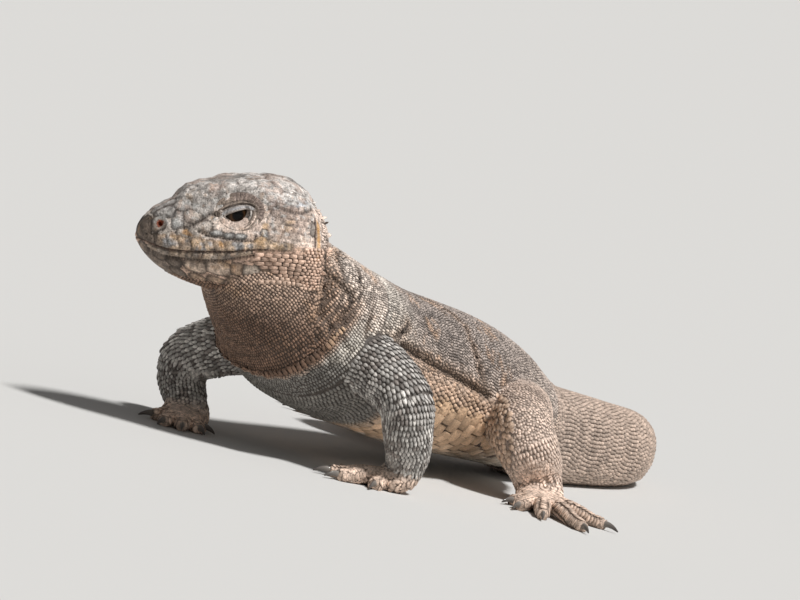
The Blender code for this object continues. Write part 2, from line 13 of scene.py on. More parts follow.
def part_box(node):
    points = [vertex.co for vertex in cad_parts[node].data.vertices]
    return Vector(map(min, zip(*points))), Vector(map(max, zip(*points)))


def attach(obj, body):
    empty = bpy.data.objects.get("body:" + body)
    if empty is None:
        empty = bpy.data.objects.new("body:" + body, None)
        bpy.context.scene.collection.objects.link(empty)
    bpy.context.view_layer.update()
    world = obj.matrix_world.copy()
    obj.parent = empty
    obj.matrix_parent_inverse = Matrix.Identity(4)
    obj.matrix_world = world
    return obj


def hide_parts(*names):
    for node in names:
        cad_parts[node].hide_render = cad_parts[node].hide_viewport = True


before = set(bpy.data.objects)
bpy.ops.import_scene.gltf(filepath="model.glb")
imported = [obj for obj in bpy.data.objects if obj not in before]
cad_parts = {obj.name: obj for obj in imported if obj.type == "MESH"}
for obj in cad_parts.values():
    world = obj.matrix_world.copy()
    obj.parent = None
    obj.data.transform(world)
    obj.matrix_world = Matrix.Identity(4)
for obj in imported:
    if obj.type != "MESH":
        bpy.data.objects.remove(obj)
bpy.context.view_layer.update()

mm = 0.001

# Where the head is in the body frame, in millimetres; everything else is measured from it
head = {
    "heading": -45.0,              # degrees from +X
    "pitch": -5.5,
    "snoutTip": (155.1, -37.1, 57.8),
    "eye": (27.2, 9.4, 10.3),      # behind the snout tip, to the side, up
}


def unit(v):
    v = np.asarray(v, float)
    return v / np.maximum(np.linalg.norm(v, axis=-1, keepdims=True), 1e-12)


def headAxes():
    turn = math.radians(head["heading"])
    nod = math.radians(head["pitch"])
    forward = np.array([math.cos(turn) * math.cos(nod), math.sin(turn) * math.cos(nod), math.sin(nod)])
    left = np.array([-math.sin(turn), math.cos(turn), 0.0])
    return forward, left, np.cross(forward, left)


headForward, headLeft, headUp = headAxes()
eyeLow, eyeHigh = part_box("eye_left")
eyeRadius = (eyeHigh - eyeLow).z / 2 / mm
snoutInBody = np.array(head["snoutTip"])
eyeInBody = snoutInBody - headForward * head["eye"][0] + headLeft * head["eye"][1] + headUp * head["eye"][2]
bodyOrigin = np.array((eyeLow + eyeHigh) / 2) / mm - eyeInBody
bodyOrigin[2] = 0.0
snout = snoutInBody + bodyOrigin


def headPoint(behind, side, up):
    return snout - headForward * behind + headLeft * side + headUp * up


def inHead(points):
    # Columns: behind the snout, to the left, up
    away = np.asarray(points, float) - snout
    return np.stack([-(away @ headForward), away @ headLeft, away @ headUp], axis=-1)


# Camera: a long lens from the animal's front left, low, and rolled so that the floor falls to the right
view = {
    "azimuth": 33.0,               # of the camera from +X, in degrees
    "elevation": 5.0,
    "roll": 14.5,
    "distance": 2400.0,
    "target": (14.5, -30.0, 47.3),
    "pixelsPerMm": 3.15,
    "pictureWidth": 800,
    "sensor": 36.0,
}


def makeCamera():
    az, el, roll = (math.radians(view[k]) for k in ("azimuth", "elevation", "roll"))
    back = np.array([math.cos(az) * math.cos(el), math.sin(az) * math.cos(el), math.sin(el)])
    right = np.array([-math.sin(az), math.cos(az), 0.0])
    up = np.cross(back, right)
    tiltedRight = math.cos(roll) * right + math.sin(roll) * up
    tiltedUp = math.cos(roll) * up - math.sin(roll) * right
    target = np.array(view["target"]) + bodyOrigin
    data = bpy.data.cameras.new("camera")
    data.sensor_width = view["sensor"]
    data.lens = view["sensor"] * view["pixelsPerMm"] * view["distance"] / view["pictureWidth"]
    camera = bpy.data.objects.new("camera", data)
    bpy.context.scene.collection.objects.link(camera)
    place = np.eye(4)
    place[:3, 0], place[:3, 1], place[:3, 2] = tiltedRight, tiltedUp, back
    place[:3, 3] = (target + back * view["distance"]) * mm
    camera.matrix_world = Matrix(place.tolist())
    data.clip_end = 100.0
    bpy.context.scene.camera = camera


makeCamera()
print("camera placed")

# Skin: the flesh nodes swollen until they meet, fused, smoothed, and kept fine only on the head
skin = {
    "swell": 0.2,
    "voxel": 0.45,
    "headSmoothing": 4,
    "bodySmoothing": 60,           # takes the flats of the solids out behind the head
    "coarseShare": 0.13,           # triangles kept behind the head
    "headBack": 54.0,              # bounds of the fine part, from the snout tip
    "headHalf": 24.0,
    "headLow": -19.0,
    "fade": 6.0,                   # over which the smoothing sets in
    "soles": 3.5,                  # height up to which the feet keep their shape
}
fleshNames = sorted(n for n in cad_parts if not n.startswith(("claw", "eye")))
clawNames = sorted(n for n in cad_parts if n.startswith("claw"))


def newObject(name, mesh):
    obj = bpy.data.objects.new(name, mesh)
    bpy.context.scene.collection.objects.link(obj)
    return obj


def settled(obj):
    # The object's mesh with its modifiers applied
    graph = bpy.context.evaluated_depsgraph_get()
    mesh = bpy.data.meshes.new_from_object(obj.evaluated_get(graph))
    obj.modifiers.clear()
    old = obj.data
    obj.data = mesh
    bpy.data.meshes.remove(old)
    return obj


def coordinates(mesh, kind="co"):
    values = np.empty(len(mesh.vertices) * 3, np.float32)
    mesh.vertices.foreach_get(kind, values)
    return values.reshape(-1, 3).astype(float) / (mm if kind == "co" else 1)


def setCoordinates(mesh, points):
    mesh.vertices.foreach_set("co", (points * mm).astype(np.float32).ravel())
    mesh.update()


def writeValues(mesh, name, values):
    # Three columns make vectors and four make colours
    kind, field = ("FLOAT_COLOR", "color") if values.shape[1] == 4 else ("FLOAT_VECTOR", "vector")
    layer = mesh.attributes.get(name) or mesh.attributes.new(name, kind, "POINT")
    layer.data.foreach_set(field, values.astype(np.float32).ravel())


def readValues(mesh, name, width):
    values = np.empty(len(mesh.vertices) * width, np.float32)
    mesh.attributes[name].data.foreach_get("color" if width == 4 else "vector", values)
    return values.reshape(-1, width)


def setTint(mesh, tone):
    writeValues(mesh, "tint", np.column_stack([tone, np.ones(len(tone))]))


def surfaceTree(mesh):
    return BVHTree.FromPolygons([v.co for v in mesh.vertices], [p.vertices for p in mesh.polygons])


def middleOf(name):
    low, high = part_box(name)
    return np.array((low + high) / 2) / mm


def fleshCopy():
    joined = bmesh.new()
    owners = []
    for k, name in enumerate(fleshNames):
        piece = bmesh.new()
        piece.from_mesh(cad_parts[name].data)
        bmesh.ops.remove_doubles(piece, verts=piece.verts, dist=0.01 * mm)
        piece.normal_update()
        for v, move in [(v, v.normal * skin["swell"] * mm) for v in piece.verts]:
            v.co += move
        mesh = bpy.data.meshes.new("piece")
        piece.to_mesh(mesh)
        piece.free()
        joined.from_mesh(mesh)
        owners += [k] * len(mesh.polygons)
        bpy.data.meshes.remove(mesh)
    mesh = bpy.data.meshes.new("skin")
    joined.to_mesh(mesh)
    joined.free()
    return mesh, owners


def makeSkin():
    mesh, owners = fleshCopy()
    tree = surfaceTree(mesh)
    obj = newObject("skin", mesh)
    remesh = obj.modifiers.new("fuse", "REMESH")
    remesh.mode = "VOXEL"
    remesh.voxel_size = skin["voxel"] * mm
    settled(obj)
    print("skin fused:", len(obj.data.polygons), "faces")
    points = coordinates(obj.data)
    behind, side, up = inHead(points).T
    isHead = (behind < skin["headBack"]) & (np.abs(side) < skin["headHalf"]) & (up > skin["headLow"])
    toHead = np.maximum(behind - skin["headBack"], skin["headLow"] - up) / skin["fade"]
    farBack = ~isHead & (points[:, 2] > skin["soles"])
    group = obj.vertex_groups.new(name="coarse")
    group.add(np.flatnonzero(~isHead).tolist(), 1.0, "REPLACE")
    even = obj.vertex_groups.new(name="even")
    for share in (0.25, 0.5, 0.75, 1.0):
        chosen = farBack & (toHead > share - 0.25) & ((toHead <= share) | (share == 1.0))
        even.add(np.flatnonzero(chosen).tolist(), share, "REPLACE")
    for name, turns, where in (("soften", skin["headSmoothing"], ""), ("even", skin["bodySmoothing"], "even")):
        smooth = obj.modifiers.new(name, "SMOOTH")
        smooth.factor = 0.5
        smooth.iterations = turns
        smooth.vertex_group = where
    thin = obj.modifiers.new("thin", "DECIMATE")
    thin.vertex_group = "coarse"
    headFaces = isHead.mean()
    thin.ratio = headFaces + (1 - headFaces) * skin["coarseShare"]
    settled(obj)
    obj.vertex_groups.clear()
    print("skin thinned:", len(obj.data.polygons), "faces")
    return obj, tree, owners


skinObject, fleshTree, fleshOwners = makeSkin()


# Random grain that is the same on every run
def hashed(ix, iy, iz, seed):
    mixed = (ix * 374761393 + iy * 668265263 + iz * 1442695041 + seed * 974634777) & 0xFFFFFFFF
    mixed = ((mixed ^ (mixed >> 13)) * 1274126177) & 0xFFFFFFFF
    return ((mixed ^ (mixed >> 16)) & 0xFFFF) / 65535.0


def grain(points, size, seed):
    # Smooth noise from 0 to 1, with blobs about this many millimetres across
    scaled = np.asarray(points, float) / size + 1000.0
    whole = np.floor(scaled).astype(np.int64)
    part = scaled - whole
    part = part * part * (3 - 2 * part)
    total = 0.0
    for dx in (0, 1):
        for dy in (0, 1):
            for dz in (0, 1):
                weight = np.abs(1 - dx - part[:, 0]) * np.abs(1 - dy - part[:, 1]) * np.abs(1 - dz - part[:, 2])
                total = total + weight * hashed(whole[:, 0] + dx, whole[:, 1] + dy, whole[:, 2] + dz, seed)
    return total


def blend(a, b, share):
    share = np.clip(share, 0.0, 1.0)[:, None]
    return np.asarray(a) * (1 - share) + np.asarray(b) * share


def bump(x, middle, width):
    return np.exp(-(((x - middle) / width) ** 2))


def softStep(x):
    x = np.clip(x, 0, 1)
    return x * x * (3 - 2 * x)


def rise(x, start, length):
    # 0 up to the start, then evenly up to 1; a negative length runs the other way
    return np.clip((x - start) / length, 0, 1)


def specks(points, size, seed, least, sharp):
    # Spots where the grain is over a least value
    return np.clip((grain(points, size, seed) - least) * sharp, 0, 1)


# Places on the head, in millimetres behind the snout tip, to the side and up
mouth = {
    "behind": [0.4, 5.3, 9.6, 14.6, 21.9, 27.1, 30.0, 34.0, 39.5, 45.0, 49.0],
    "up": [-2.1, -3.2, -3.6, -3.0, -1.7, -0.8, 0.1, 1.0, 1.7, 2.2, 2.2],
    "end": 45.5,
    "fade": 9.0,                   # length over which it closes at the rear
    "depth": 0.42,
    "width": 0.25,
}
upperLip = {
    "seams": [1.8, 5.5, 9.2, 12.4, 15.9, 19.2, 22.4, 25.4, 29.0, 32.7, 37.4, 44.6],
    "behind": [0.0, 5.0, 10.0, 15.0, 20.0, 25.0, 30.0, 32.5, 34.0, 37.0, 38.5, 44.0, 47.0],
    "height": [1.2, 3.6, 4.8, 4.2, 3.7, 3.4, 2.8, 2.8, 4.1, 3.9, 2.9, 2.6, 1.6],
    "lean": 0.35,
    "seamDepth": 0.15,
    "seamDark": 0.58,
    "mottle": 0.65,
}
lowerLip = {
    "seams": [3.4, 7.6, 12.6, 16.2, 19.0, 22.2, 25.8, 29.6, 33.2],
    "behind": [0.0, 6.0, 10.0, 15.0, 20.0, 25.0, 30.0, 33.5],
    "height": [0.8, 1.9, 2.2, 2.3, 2.9, 2.8, 2.1, 1.4],
    "lean": -0.2,
    "seamDepth": 0.14,
    "seamDark": 0.6,
    "mottle": 0.25,
}
shields = {
    "depth": 0.16,                 # of the seams between them
    "width": 0.30,
    "edge": 0.8,                   # how far in from a seam a shield reaches its full height
    "square": 3.2,                 # 2 makes them round, more makes them squarer
    "reach": 1.35,                 # how far past its own size a shield rules the skin
    "dark": 0.88,                  # of the seams
    "roughUnder": 0.09,            # a shield that rises less than this is worn and rough
    "roughDepth": 0.14,
    "roughDark": 0.48,
}
# View, behind, side or up, half length, half height, rise, tone
shieldList = [
    ("side", 1.6, 1.6, 1.8, 3.0, 0.10, "snoutTip"), ("side", 6.6, 7.8, 3.4, 2.0, 0.22, "snoutDark"),
    ("side", 6.4, 3.0, 2.3, 2.2, 0.14, "nasal"), ("side", 10.8, 5.8, 1.4, 2.6, 0.28, "pale"),
    ("side", 14.6, 7.6, 2.5, 1.9, 0.10, "loreal"), ("side", 18.0, 5.2, 2.4, 1.6, 0.10, "loreal"),
    ("side", 12.6, 2.4, 1.7, 1.4, 0.12, "loreal"), ("side", 16.4, 2.8, 2.4, 1.3, 0.08, "loreal"),
    ("side", 22.0, 3.9, 1.8, 0.8, 0.20, "pale"), ("side", 25.6, 3.8, 1.8, 0.8, 0.22, "pale"),
    ("side", 29.2, 4.1, 1.8, 0.8, 0.22, "pale"), ("side", 36.0, 6.4, 1.2, 1.1, 0.16, "pale"),
    ("side", 17.0, 11.0, 2.8, 2.0, 0.08, "crown"), ("side", 11.8, 10.6, 2.2, 1.9, 0.08, "crown"),
    ("side", 7.2, -5.6, 2.2, 1.5, 0.12, "chinDark"), ("side", 11.4, -7.0, 2.2, 1.4, 0.14, "chinDark"),
    ("side", 2.6, -4.6, 2.4, 1.5, 0.10, "chinDark"), ("side", 17.4, -7.0, 3.1, 1.8, 0.22, "chinPale"),
    ("side", 24.2, -6.5, 3.5, 1.9, 0.22, "chinPale"), ("side", 29.4, -5.9, 1.7, 1.7, 0.18, "chin"),
    ("side", 33.8, -5.8, 2.3, 1.7, 0.36, "chinGrey"), ("side", 38.6, -6.3, 1.9, 1.5, 0.24, "chin"),
    ("side", 13.4, -10.0, 2.6, 1.3, 0.14, "chinDark"), ("side", 18.8, -10.6, 2.4, 1.1, 0.14, "chin"),
    ("side", 24.2, -10.4, 2.3, 1.1, 0.14, "chin"), ("side", 29.4, -9.9, 2.0, 1.1, 0.26, "chin"),
    ("side", 34.0, -9.4, 1.8, 1.0, 0.16, "chin"), ("side", 50.6, 9.4, 0.9, 2.0, 0.16, "earPlate"),
    ("top", 6.6, 2.9, 3.2, 2.7, 0.16, "snoutDark"), ("top", 12.6, 0.0, 2.6, 3.0, 0.06, "crown"),
    ("top", 16.6, 3.6, 2.8, 3.2, 0.06, "crown"), ("top", 24.4, 0.0, 5.6, 3.6, 0.06, "crown"),
    ("top", 19.6, 8.4, 2.2, 2.2, 0.06, "crown"), ("top", 24.2, 9.4, 2.6, 3.0, 0.08, "crown"),
    ("top", 29.8, 9.8, 2.8, 3.2, 0.08, "crown"), ("top", 34.6, 9.8, 2.2, 2.8, 0.06, "crown"),
    ("top", 32.8, 2.9, 2.9, 2.9, 0.06, "crown"), ("top", 38.2, 0.0, 3.0, 1.9, 0.06, "crown"),
    ("top", 41.8, 6.6, 5.4, 4.4, 0.06, "crown"), ("top", 46.4, 0.0, 3.2, 2.2, 0.06, "crown"),
]
templeTiles = {"behind": (37.5, 49.5), "up": (6.8, 15.2), "size": 2.1, "rise": 0.06}
# Side view, behind and up: creases with their depth, width and the share of painted shade in them
headCreases = [
    ([(12.6, 3.6), (16.5, 6.2), (19.4, 9.0), (21.8, 9.4)], 0.60, 0.62, 1.0),
    ([(17.0, 3.4), (19.0, 2.7), (24.0, 2.7), (29.5, 2.9), (32.8, 3.4), (33.2, 5.0)], 0.60, 0.46, 1.0),
    ([(9.0, -5.8), (15.0, -5.5), (20.0, -4.9), (25.0, -3.9), (29.0, -2.5), (33.5, -1.0)], 0.6, 0.5, 1.0),
    ([(14.6, -6.0), (14.0, -7.4), (16.0, -8.8), (20.0, -9.2), (24.5, -8.8), (28.5, -8.0), (35.0, -8.0)],
     0.3, 0.4, 0.6),
    ([(38.4, 14.4), (40.2, 14.0), (43.5, 13.4), (46.5, 13.7), (49.8, 14.8)], 0.45, 0.6, 0.9),
    ([(37.4, 1.9), (37.2, 4.4), (38.2, 5.4)], 0.12, 0.25, 0.5),
    ([(4.2, 0.6), (3.4, 2.6), (4.2, 5.2), (5.8, 6.0), (8.4, 5.4)], 0.16, 0.28, 0.5),
]
# Markings: behind, up, half length, half height, tone and strength
headMarks = [
    (11.0, 0.4, 1.6, 1.4, "tan", 0.7), (13.8, 2.4, 1.6, 0.9, "orange", 0.8), (17.2, 0.0, 1.6, 1.5, "tan", 0.9),
    (24.0, 1.0, 1.3, 1.3, "orange", 0.7), (20.9, 8.4, 1.2, 0.9, "orange", 0.7), (35.2, 3.2, 2.0, 1.9, "tan", 1.0),
    (41.2, 3.0, 3.0, 1.0, "tan", 0.7), (36.0, 8.4, 1.6, 1.2, "tan", 0.8), (42.8, 9.6, 2.6, 2.2, "tan", 0.8),
    (13.4, 13.4, 2.6, 1.6, "tan", 0.5), (20.5, 0.3, 1.5, 1.2, "bluish", 0.7), (28.8, 0.9, 2.2, 1.0, "bluish", 0.7),
    (39.6, 14.8, 3.4, 1.6, "bluish", 0.7), (46.0, 15.6, 3.4, 1.8, "bluish", 0.8),
    (38.0, 11.4, 2.6, 1.8, "bluish", 0.45), (41.4, 12.6, 1.6, 1.2, "pink", 0.6),
    (26.6, -5.0, 2.4, 1.2, "orange", 0.35), (9.4, -1.2, 2.0, 1.0, "bluish", 0.5),
]
nostril = (6.2, 5.3, 3.4)
ear = {"behind": 51.7, "up": 6.6, "half": 7.0, "width": 0.7, "lean": 0.05, "flap": 1.5}
orbit = {"behind": 28.2, "up": 11.5, "long": 7.5, "tall": 5.9, "tilt": 12.0}


def mouthHeight(behind):
    return np.interp(behind, mouth["behind"], mouth["up"])


def lipSeams(behind, gap, lip):
    # Distance to the nearest upright seam of a lip, and the number of the shield
    at = behind + lip["lean"] * gap
    away = np.abs(at[:, None] - np.array(lip["seams"])[None])
    return away.min(axis=1), np.searchsorted(lip["seams"], at)


def shieldRows():
    rows = list(shieldList)
    first, last = templeTiles["behind"]
    low, high = templeTiles["up"]
    size = templeTiles["size"]
    for k, up in enumerate(np.arange(low, high, size * 0.9)):
        for behind in np.arange(first + size * 0.5 * (k % 2), last, size * 1.05):
            rows.append(("side", behind, up, size * 0.62, size * 0.52, templeTiles["rise"], "temple"))
    return rows


def seedShields(tree):
    # Puts every shield's middle on the skin, on both sides
    seeds = []
    for way, behind, other, half, tall, rise, tone in shieldRows():
        for side in (1, -1):
            if way == "side":
                start, ray = headPoint(behind, side * 40.0, other), -headLeft * side
            else:
                start, ray = headPoint(behind, other * side, 40.0), -headUp
            hit = tree.ray_cast(Vector(start * mm), Vector(ray))[0]
            if hit is not None:
                seeds.append((*inHead(np.array(hit) / mm), half, tall, rise, toneNames.index(tone)))
    return np.array(seeds)


def nearestShields(local, seeds):
    # Nearest shield, distance to it over its own size, and distance to its edge in millimetres
    away = np.abs(local[:, None, :] - seeds[None, :, :3])
    power = shields["square"]
    along = away[..., 0] / seeds[:, 3]
    across = np.hypot(away[..., 1], away[..., 2]) / seeds[:, 4]
    gap = (along ** power + across ** power) ** (1 / power)
    order = np.argpartition(gap, 1, axis=1)[:, :2]
    two = np.take_along_axis(gap, order, axis=1)
    first = order[np.arange(len(two)), two.argmin(axis=1)]
    near, far = two.min(axis=1), two.max(axis=1)
    size = np.minimum(seeds[first, 3], seeds[first, 4])
    return first, near, np.minimum(far - near, shields["reach"] - near) * 0.5 * size


def creaseDistance(behind, up, line):
    dense = foldPoints([(*p, 0.0) for p in line])[:, :2]
    away = np.stack([behind, up], axis=1)[:, None, :] - dense[None]
    return np.sqrt((away ** 2).sum(axis=2)).min(axis=1)


def orbitReach(behind, up):
    # 0 at the middle of the orbit and 1 on its outer edge
    tilt = math.radians(orbit["tilt"])
    x, y = behind - orbit["behind"], up - orbit["up"]
    along = x * math.cos(tilt) + y * math.sin(tilt)
    across = y * math.cos(tilt) - x * math.sin(tilt)
    return np.hypot(along / orbit["long"], across / orbit["tall"])


# Colours, as linear values
tones = {
    "crown": (0.64, 0.585, 0.54),
    # Painted shade on the front of the snout, which faces away from the light
    "snoutTip": (0.15, 0.115, 0.09),
    "snoutDark": (0.39, 0.36, 0.335),
    "nasal": (0.36, 0.30, 0.25),
    "pale": (0.62, 0.60, 0.57),
    "loreal": (0.55, 0.48, 0.42),
    "upperLip": (0.66, 0.49, 0.35),
    "temple": (0.76, 0.61, 0.515),
    "lowerLip": (0.46, 0.35, 0.26),
    "chin": (0.46, 0.32, 0.225),
    "chinPale": (0.60, 0.46, 0.36),
    "chinGrey": (0.50, 0.41, 0.335),
    # Painted shade on the front and underside of the chin
    "chinDark": (0.22, 0.17, 0.135),
    "earPlate": (0.52, 0.44, 0.38),
    "jowl": (0.66, 0.455, 0.345),
    "tan": (0.66, 0.44, 0.255),
    "orange": (0.58, 0.30, 0.10),
    "bluish": (0.40, 0.415, 0.435),
    "pink": (0.54, 0.40, 0.33),
    # The throat's own brown, darkened with painted shade
    "throat": (0.20, 0.12, 0.08),
    "gular": (0.56, 0.40, 0.305),
    "shoulder": (0.66, 0.605, 0.53),
    "neck": (0.74, 0.63, 0.54),
    "back": (0.435, 0.36, 0.31),
    "saddle": (0.31, 0.26, 0.23),
    "backDark": (0.15, 0.125, 0.11),
    "rust": (0.50, 0.31, 0.19),
    "plates": (0.48, 0.325, 0.21),
    "flankLow": (0.58, 0.41, 0.30),
    "arm": (0.46, 0.432, 0.40),
    "leg": (0.66, 0.515, 0.425),
    "tail": (0.54, 0.415, 0.335),
    "foot": (0.60, 0.45, 0.355),
    "collar": (0.66, 0.45, 0.29),
    # Near black: painted shade in the mouth line and in the ear's slit
    "mouth": (0.045, 0.022, 0.016),
    "nostril": (0.22, 0.05, 0.02),
    # Near black: painted shade in the gaps between scales, in creases, folds and lid grooves; also the seams between
    # the head shields
    "between": (0.055, 0.040, 0.032),
    "belly": (0.40, 0.35, 0.29),
    # Painted shade on the low front of the chest
    "chest": (0.215, 0.20, 0.18),
    "lid": (0.33, 0.26, 0.21),
    "lidRim": (0.62, 0.58, 0.54),
    "brow": (0.36, 0.275, 0.235),
}
toneNames = list(tones)
toneTable = np.array([tones[name] for name in toneNames])


# The middle of the body from the head to the tail, in the body frame
spine = {
    "points": [(139.0, -19.0, 64.5), (133.0, -14.0, 62.0), (125.0, -8.0, 57.5), (115.0, -2.5, 51.0),
               (104.0, 0.0, 44.0), (90.0, 0.0, 38.0), (72.0, 0.0, 33.5), (50.0, 0.0, 29.5), (28.0, 0.0, 26.0),
               (6.0, 0.0, 22.0), (-8.0, 0.0, 19.0), (-18.0, 0.0, 17.0)],
    "tailLength": 338.0,
    "tailShare": [0.0, 0.16, 0.24, 0.33, 0.44, 0.58, 0.74, 0.88, 1.0],
    "tailHeading": [0.0, 4.0, 22.0, 54.0, 70.0, 56.0, 26.0, 2.0, -8.0],
    "tailHeight": [17.0, 13.2, 11.8, 10.2, 8.4, 6.2, 4.2, 2.5, 1.0],
    "tailSteps": 120,
}


# Folds of the skin in the body frame, with depth and width, and the collar under the throat
folds = [
    ([(94.5, 26.0, 42.6), (81.0, 26.0, 39.2), (65.0, 26.0, 35.7), (50.7, 26.5, 32.3), (40.0, 27.0, 29.5)], 1.6, 1.1),
    ([(54.0, 8.0, 54.5), (50.0, 13.0, 51.5), (47.2, 16.2, 49.3), (48.4, 20.8, 45.6), (47.4, 23.9, 41.1),
      (44.0, 26.4, 33.0)], 1.1, 0.8),
    ([(103.8, 29.0, 43.1), (94.2, 25.5, 46.2), (90.7, 24.2, 48.6)], 1.3, 1.0),
    ([(128.0, 12.0, 66.0), (127.0, 13.6, 63.0), (126.2, 15.3, 58.0), (126.7, 16.4, 52.0), (127.0, 16.6, 47.4)],
     1.9, 1.3),
    ([(123.4, 16.3, 58.5), (118.5, 19.6, 55.0), (117.9, 20.7, 52.8), (120.4, 20.4, 47.2), (123.4, 19.0, 43.6)],
     1.5, 1.1),
]
foldStep = 0.8
foldRidge = 0.3
wrinkles = {"apart": 5.2, "sway": 9.0, "depth": 0.8, "x": (107.0, 129.0), "low": 38.0, "throatApart": 4.6}
# The collar crosses the throat square to the neck, a little behind the row of the spine given here
collar = {
    "row": (115.0, -2.5, 51.0),
    "along": (-21.0, 8.0, -13.5),  # towards the tail
    "behind": 3.6,
    "skew": 4.0,                   # how far the turned head draws its right end forward
    "halfWidth": 23.0,
    "top": 46.0,
    "rise": 0.9,
    "reach": 7.0,
}


def foldPoints(points):
    dense = []
    for a, b in zip(points[:-1], points[1:]):
        count = max(2, int(np.linalg.norm(np.subtract(b, a)) / foldStep))
        for k in range(count):
            dense.append(np.add(a, np.subtract(b, a) * k / count))
    return np.array(dense + [np.array(points[-1])])


def foldDistance(points, line):
    # Distance to the nearest point of a fold, on whichever side of the body is nearer
    distance = np.full(len(points), 99.0)
    for side in (1, -1):
        mirrored = line * (1, side, 1)
        close = np.flatnonzero((np.abs(points - mirrored.mean(axis=0)) < 40.0).all(axis=1))
        if len(close):
            away = points[close][:, None, :] - mirrored[None]
            distance[close] = np.minimum(distance[close], np.sqrt((away ** 2).sum(axis=2)).min(axis=1))
    return distance


def furrows(at, apart):
    return (1 - np.abs(np.sin(math.pi * at / apart))) ** 3


def neckWrinkles(points):
    # Loose skin behind the jaw: furrows down the side of the neck and across the throat, from 0 to 1
    x, y, z = points.T
    behind = inHead(points + bodyOrigin)[:, 0]
    furrow = furrows(behind + wrinkles["sway"] * grain(points, 11.0, 61), wrinkles["apart"])
    where = rise(x, wrinkles["x"][0], 5) * rise(x, wrinkles["x"][1], -4)
    side = furrow * where * rise(z, wrinkles["low"], 6) * rise(np.abs(y + 8), 5, 4)
    ahead = collarAhead(points)
    drape = furrows(ahead + 5.0 * grain(points, 8.0, 62), wrinkles["throatApart"])
    drape = drape * rise(ahead, 2.5, 2) * rise(ahead, 20.0, -6) * (x > 104.0)
    return np.maximum(side, 0.6 * drape * rise(z, 60.0, -10))


def foldShare(points, broader=1.0):
    # How deep in a fold each point lies, from 0 to 1, and the move along the normal in millimetres
    deep = np.zeros(len(points))
    move = np.zeros(len(points))
    for line, depth, width in folds:
        width = width * broader
        distance = foldDistance(points, foldPoints(line))
        inFold = bump(distance, 0.0, width)
        deep = np.maximum(deep, inFold)
        move += depth * (foldRidge * bump(distance, 2.4 * width, width) - inFold)
    furrow = neckWrinkles(points)
    return np.maximum(deep, furrow * 0.8), move - wrinkles["depth"] * (furrow - 0.25)


def collarAhead(points):
    # How far in front of the collar's edge each point of the body frame lies
    along = unit(collar["along"])
    right = unit((-along[1], along[0], 0.0))
    away = points - np.array(collar["row"])
    return collar["behind"] - collar["skew"] * (away @ right) / collar["halfWidth"] - away @ along


def ownersOf(points):
    # The flesh node that each point belongs to
    return np.array([fleshOwners[fleshTree.find_nearest(Vector(p))[2]] for p in points * mm])


def namedOwners(*starts):
    return np.array([name.startswith(starts) for name in fleshNames])


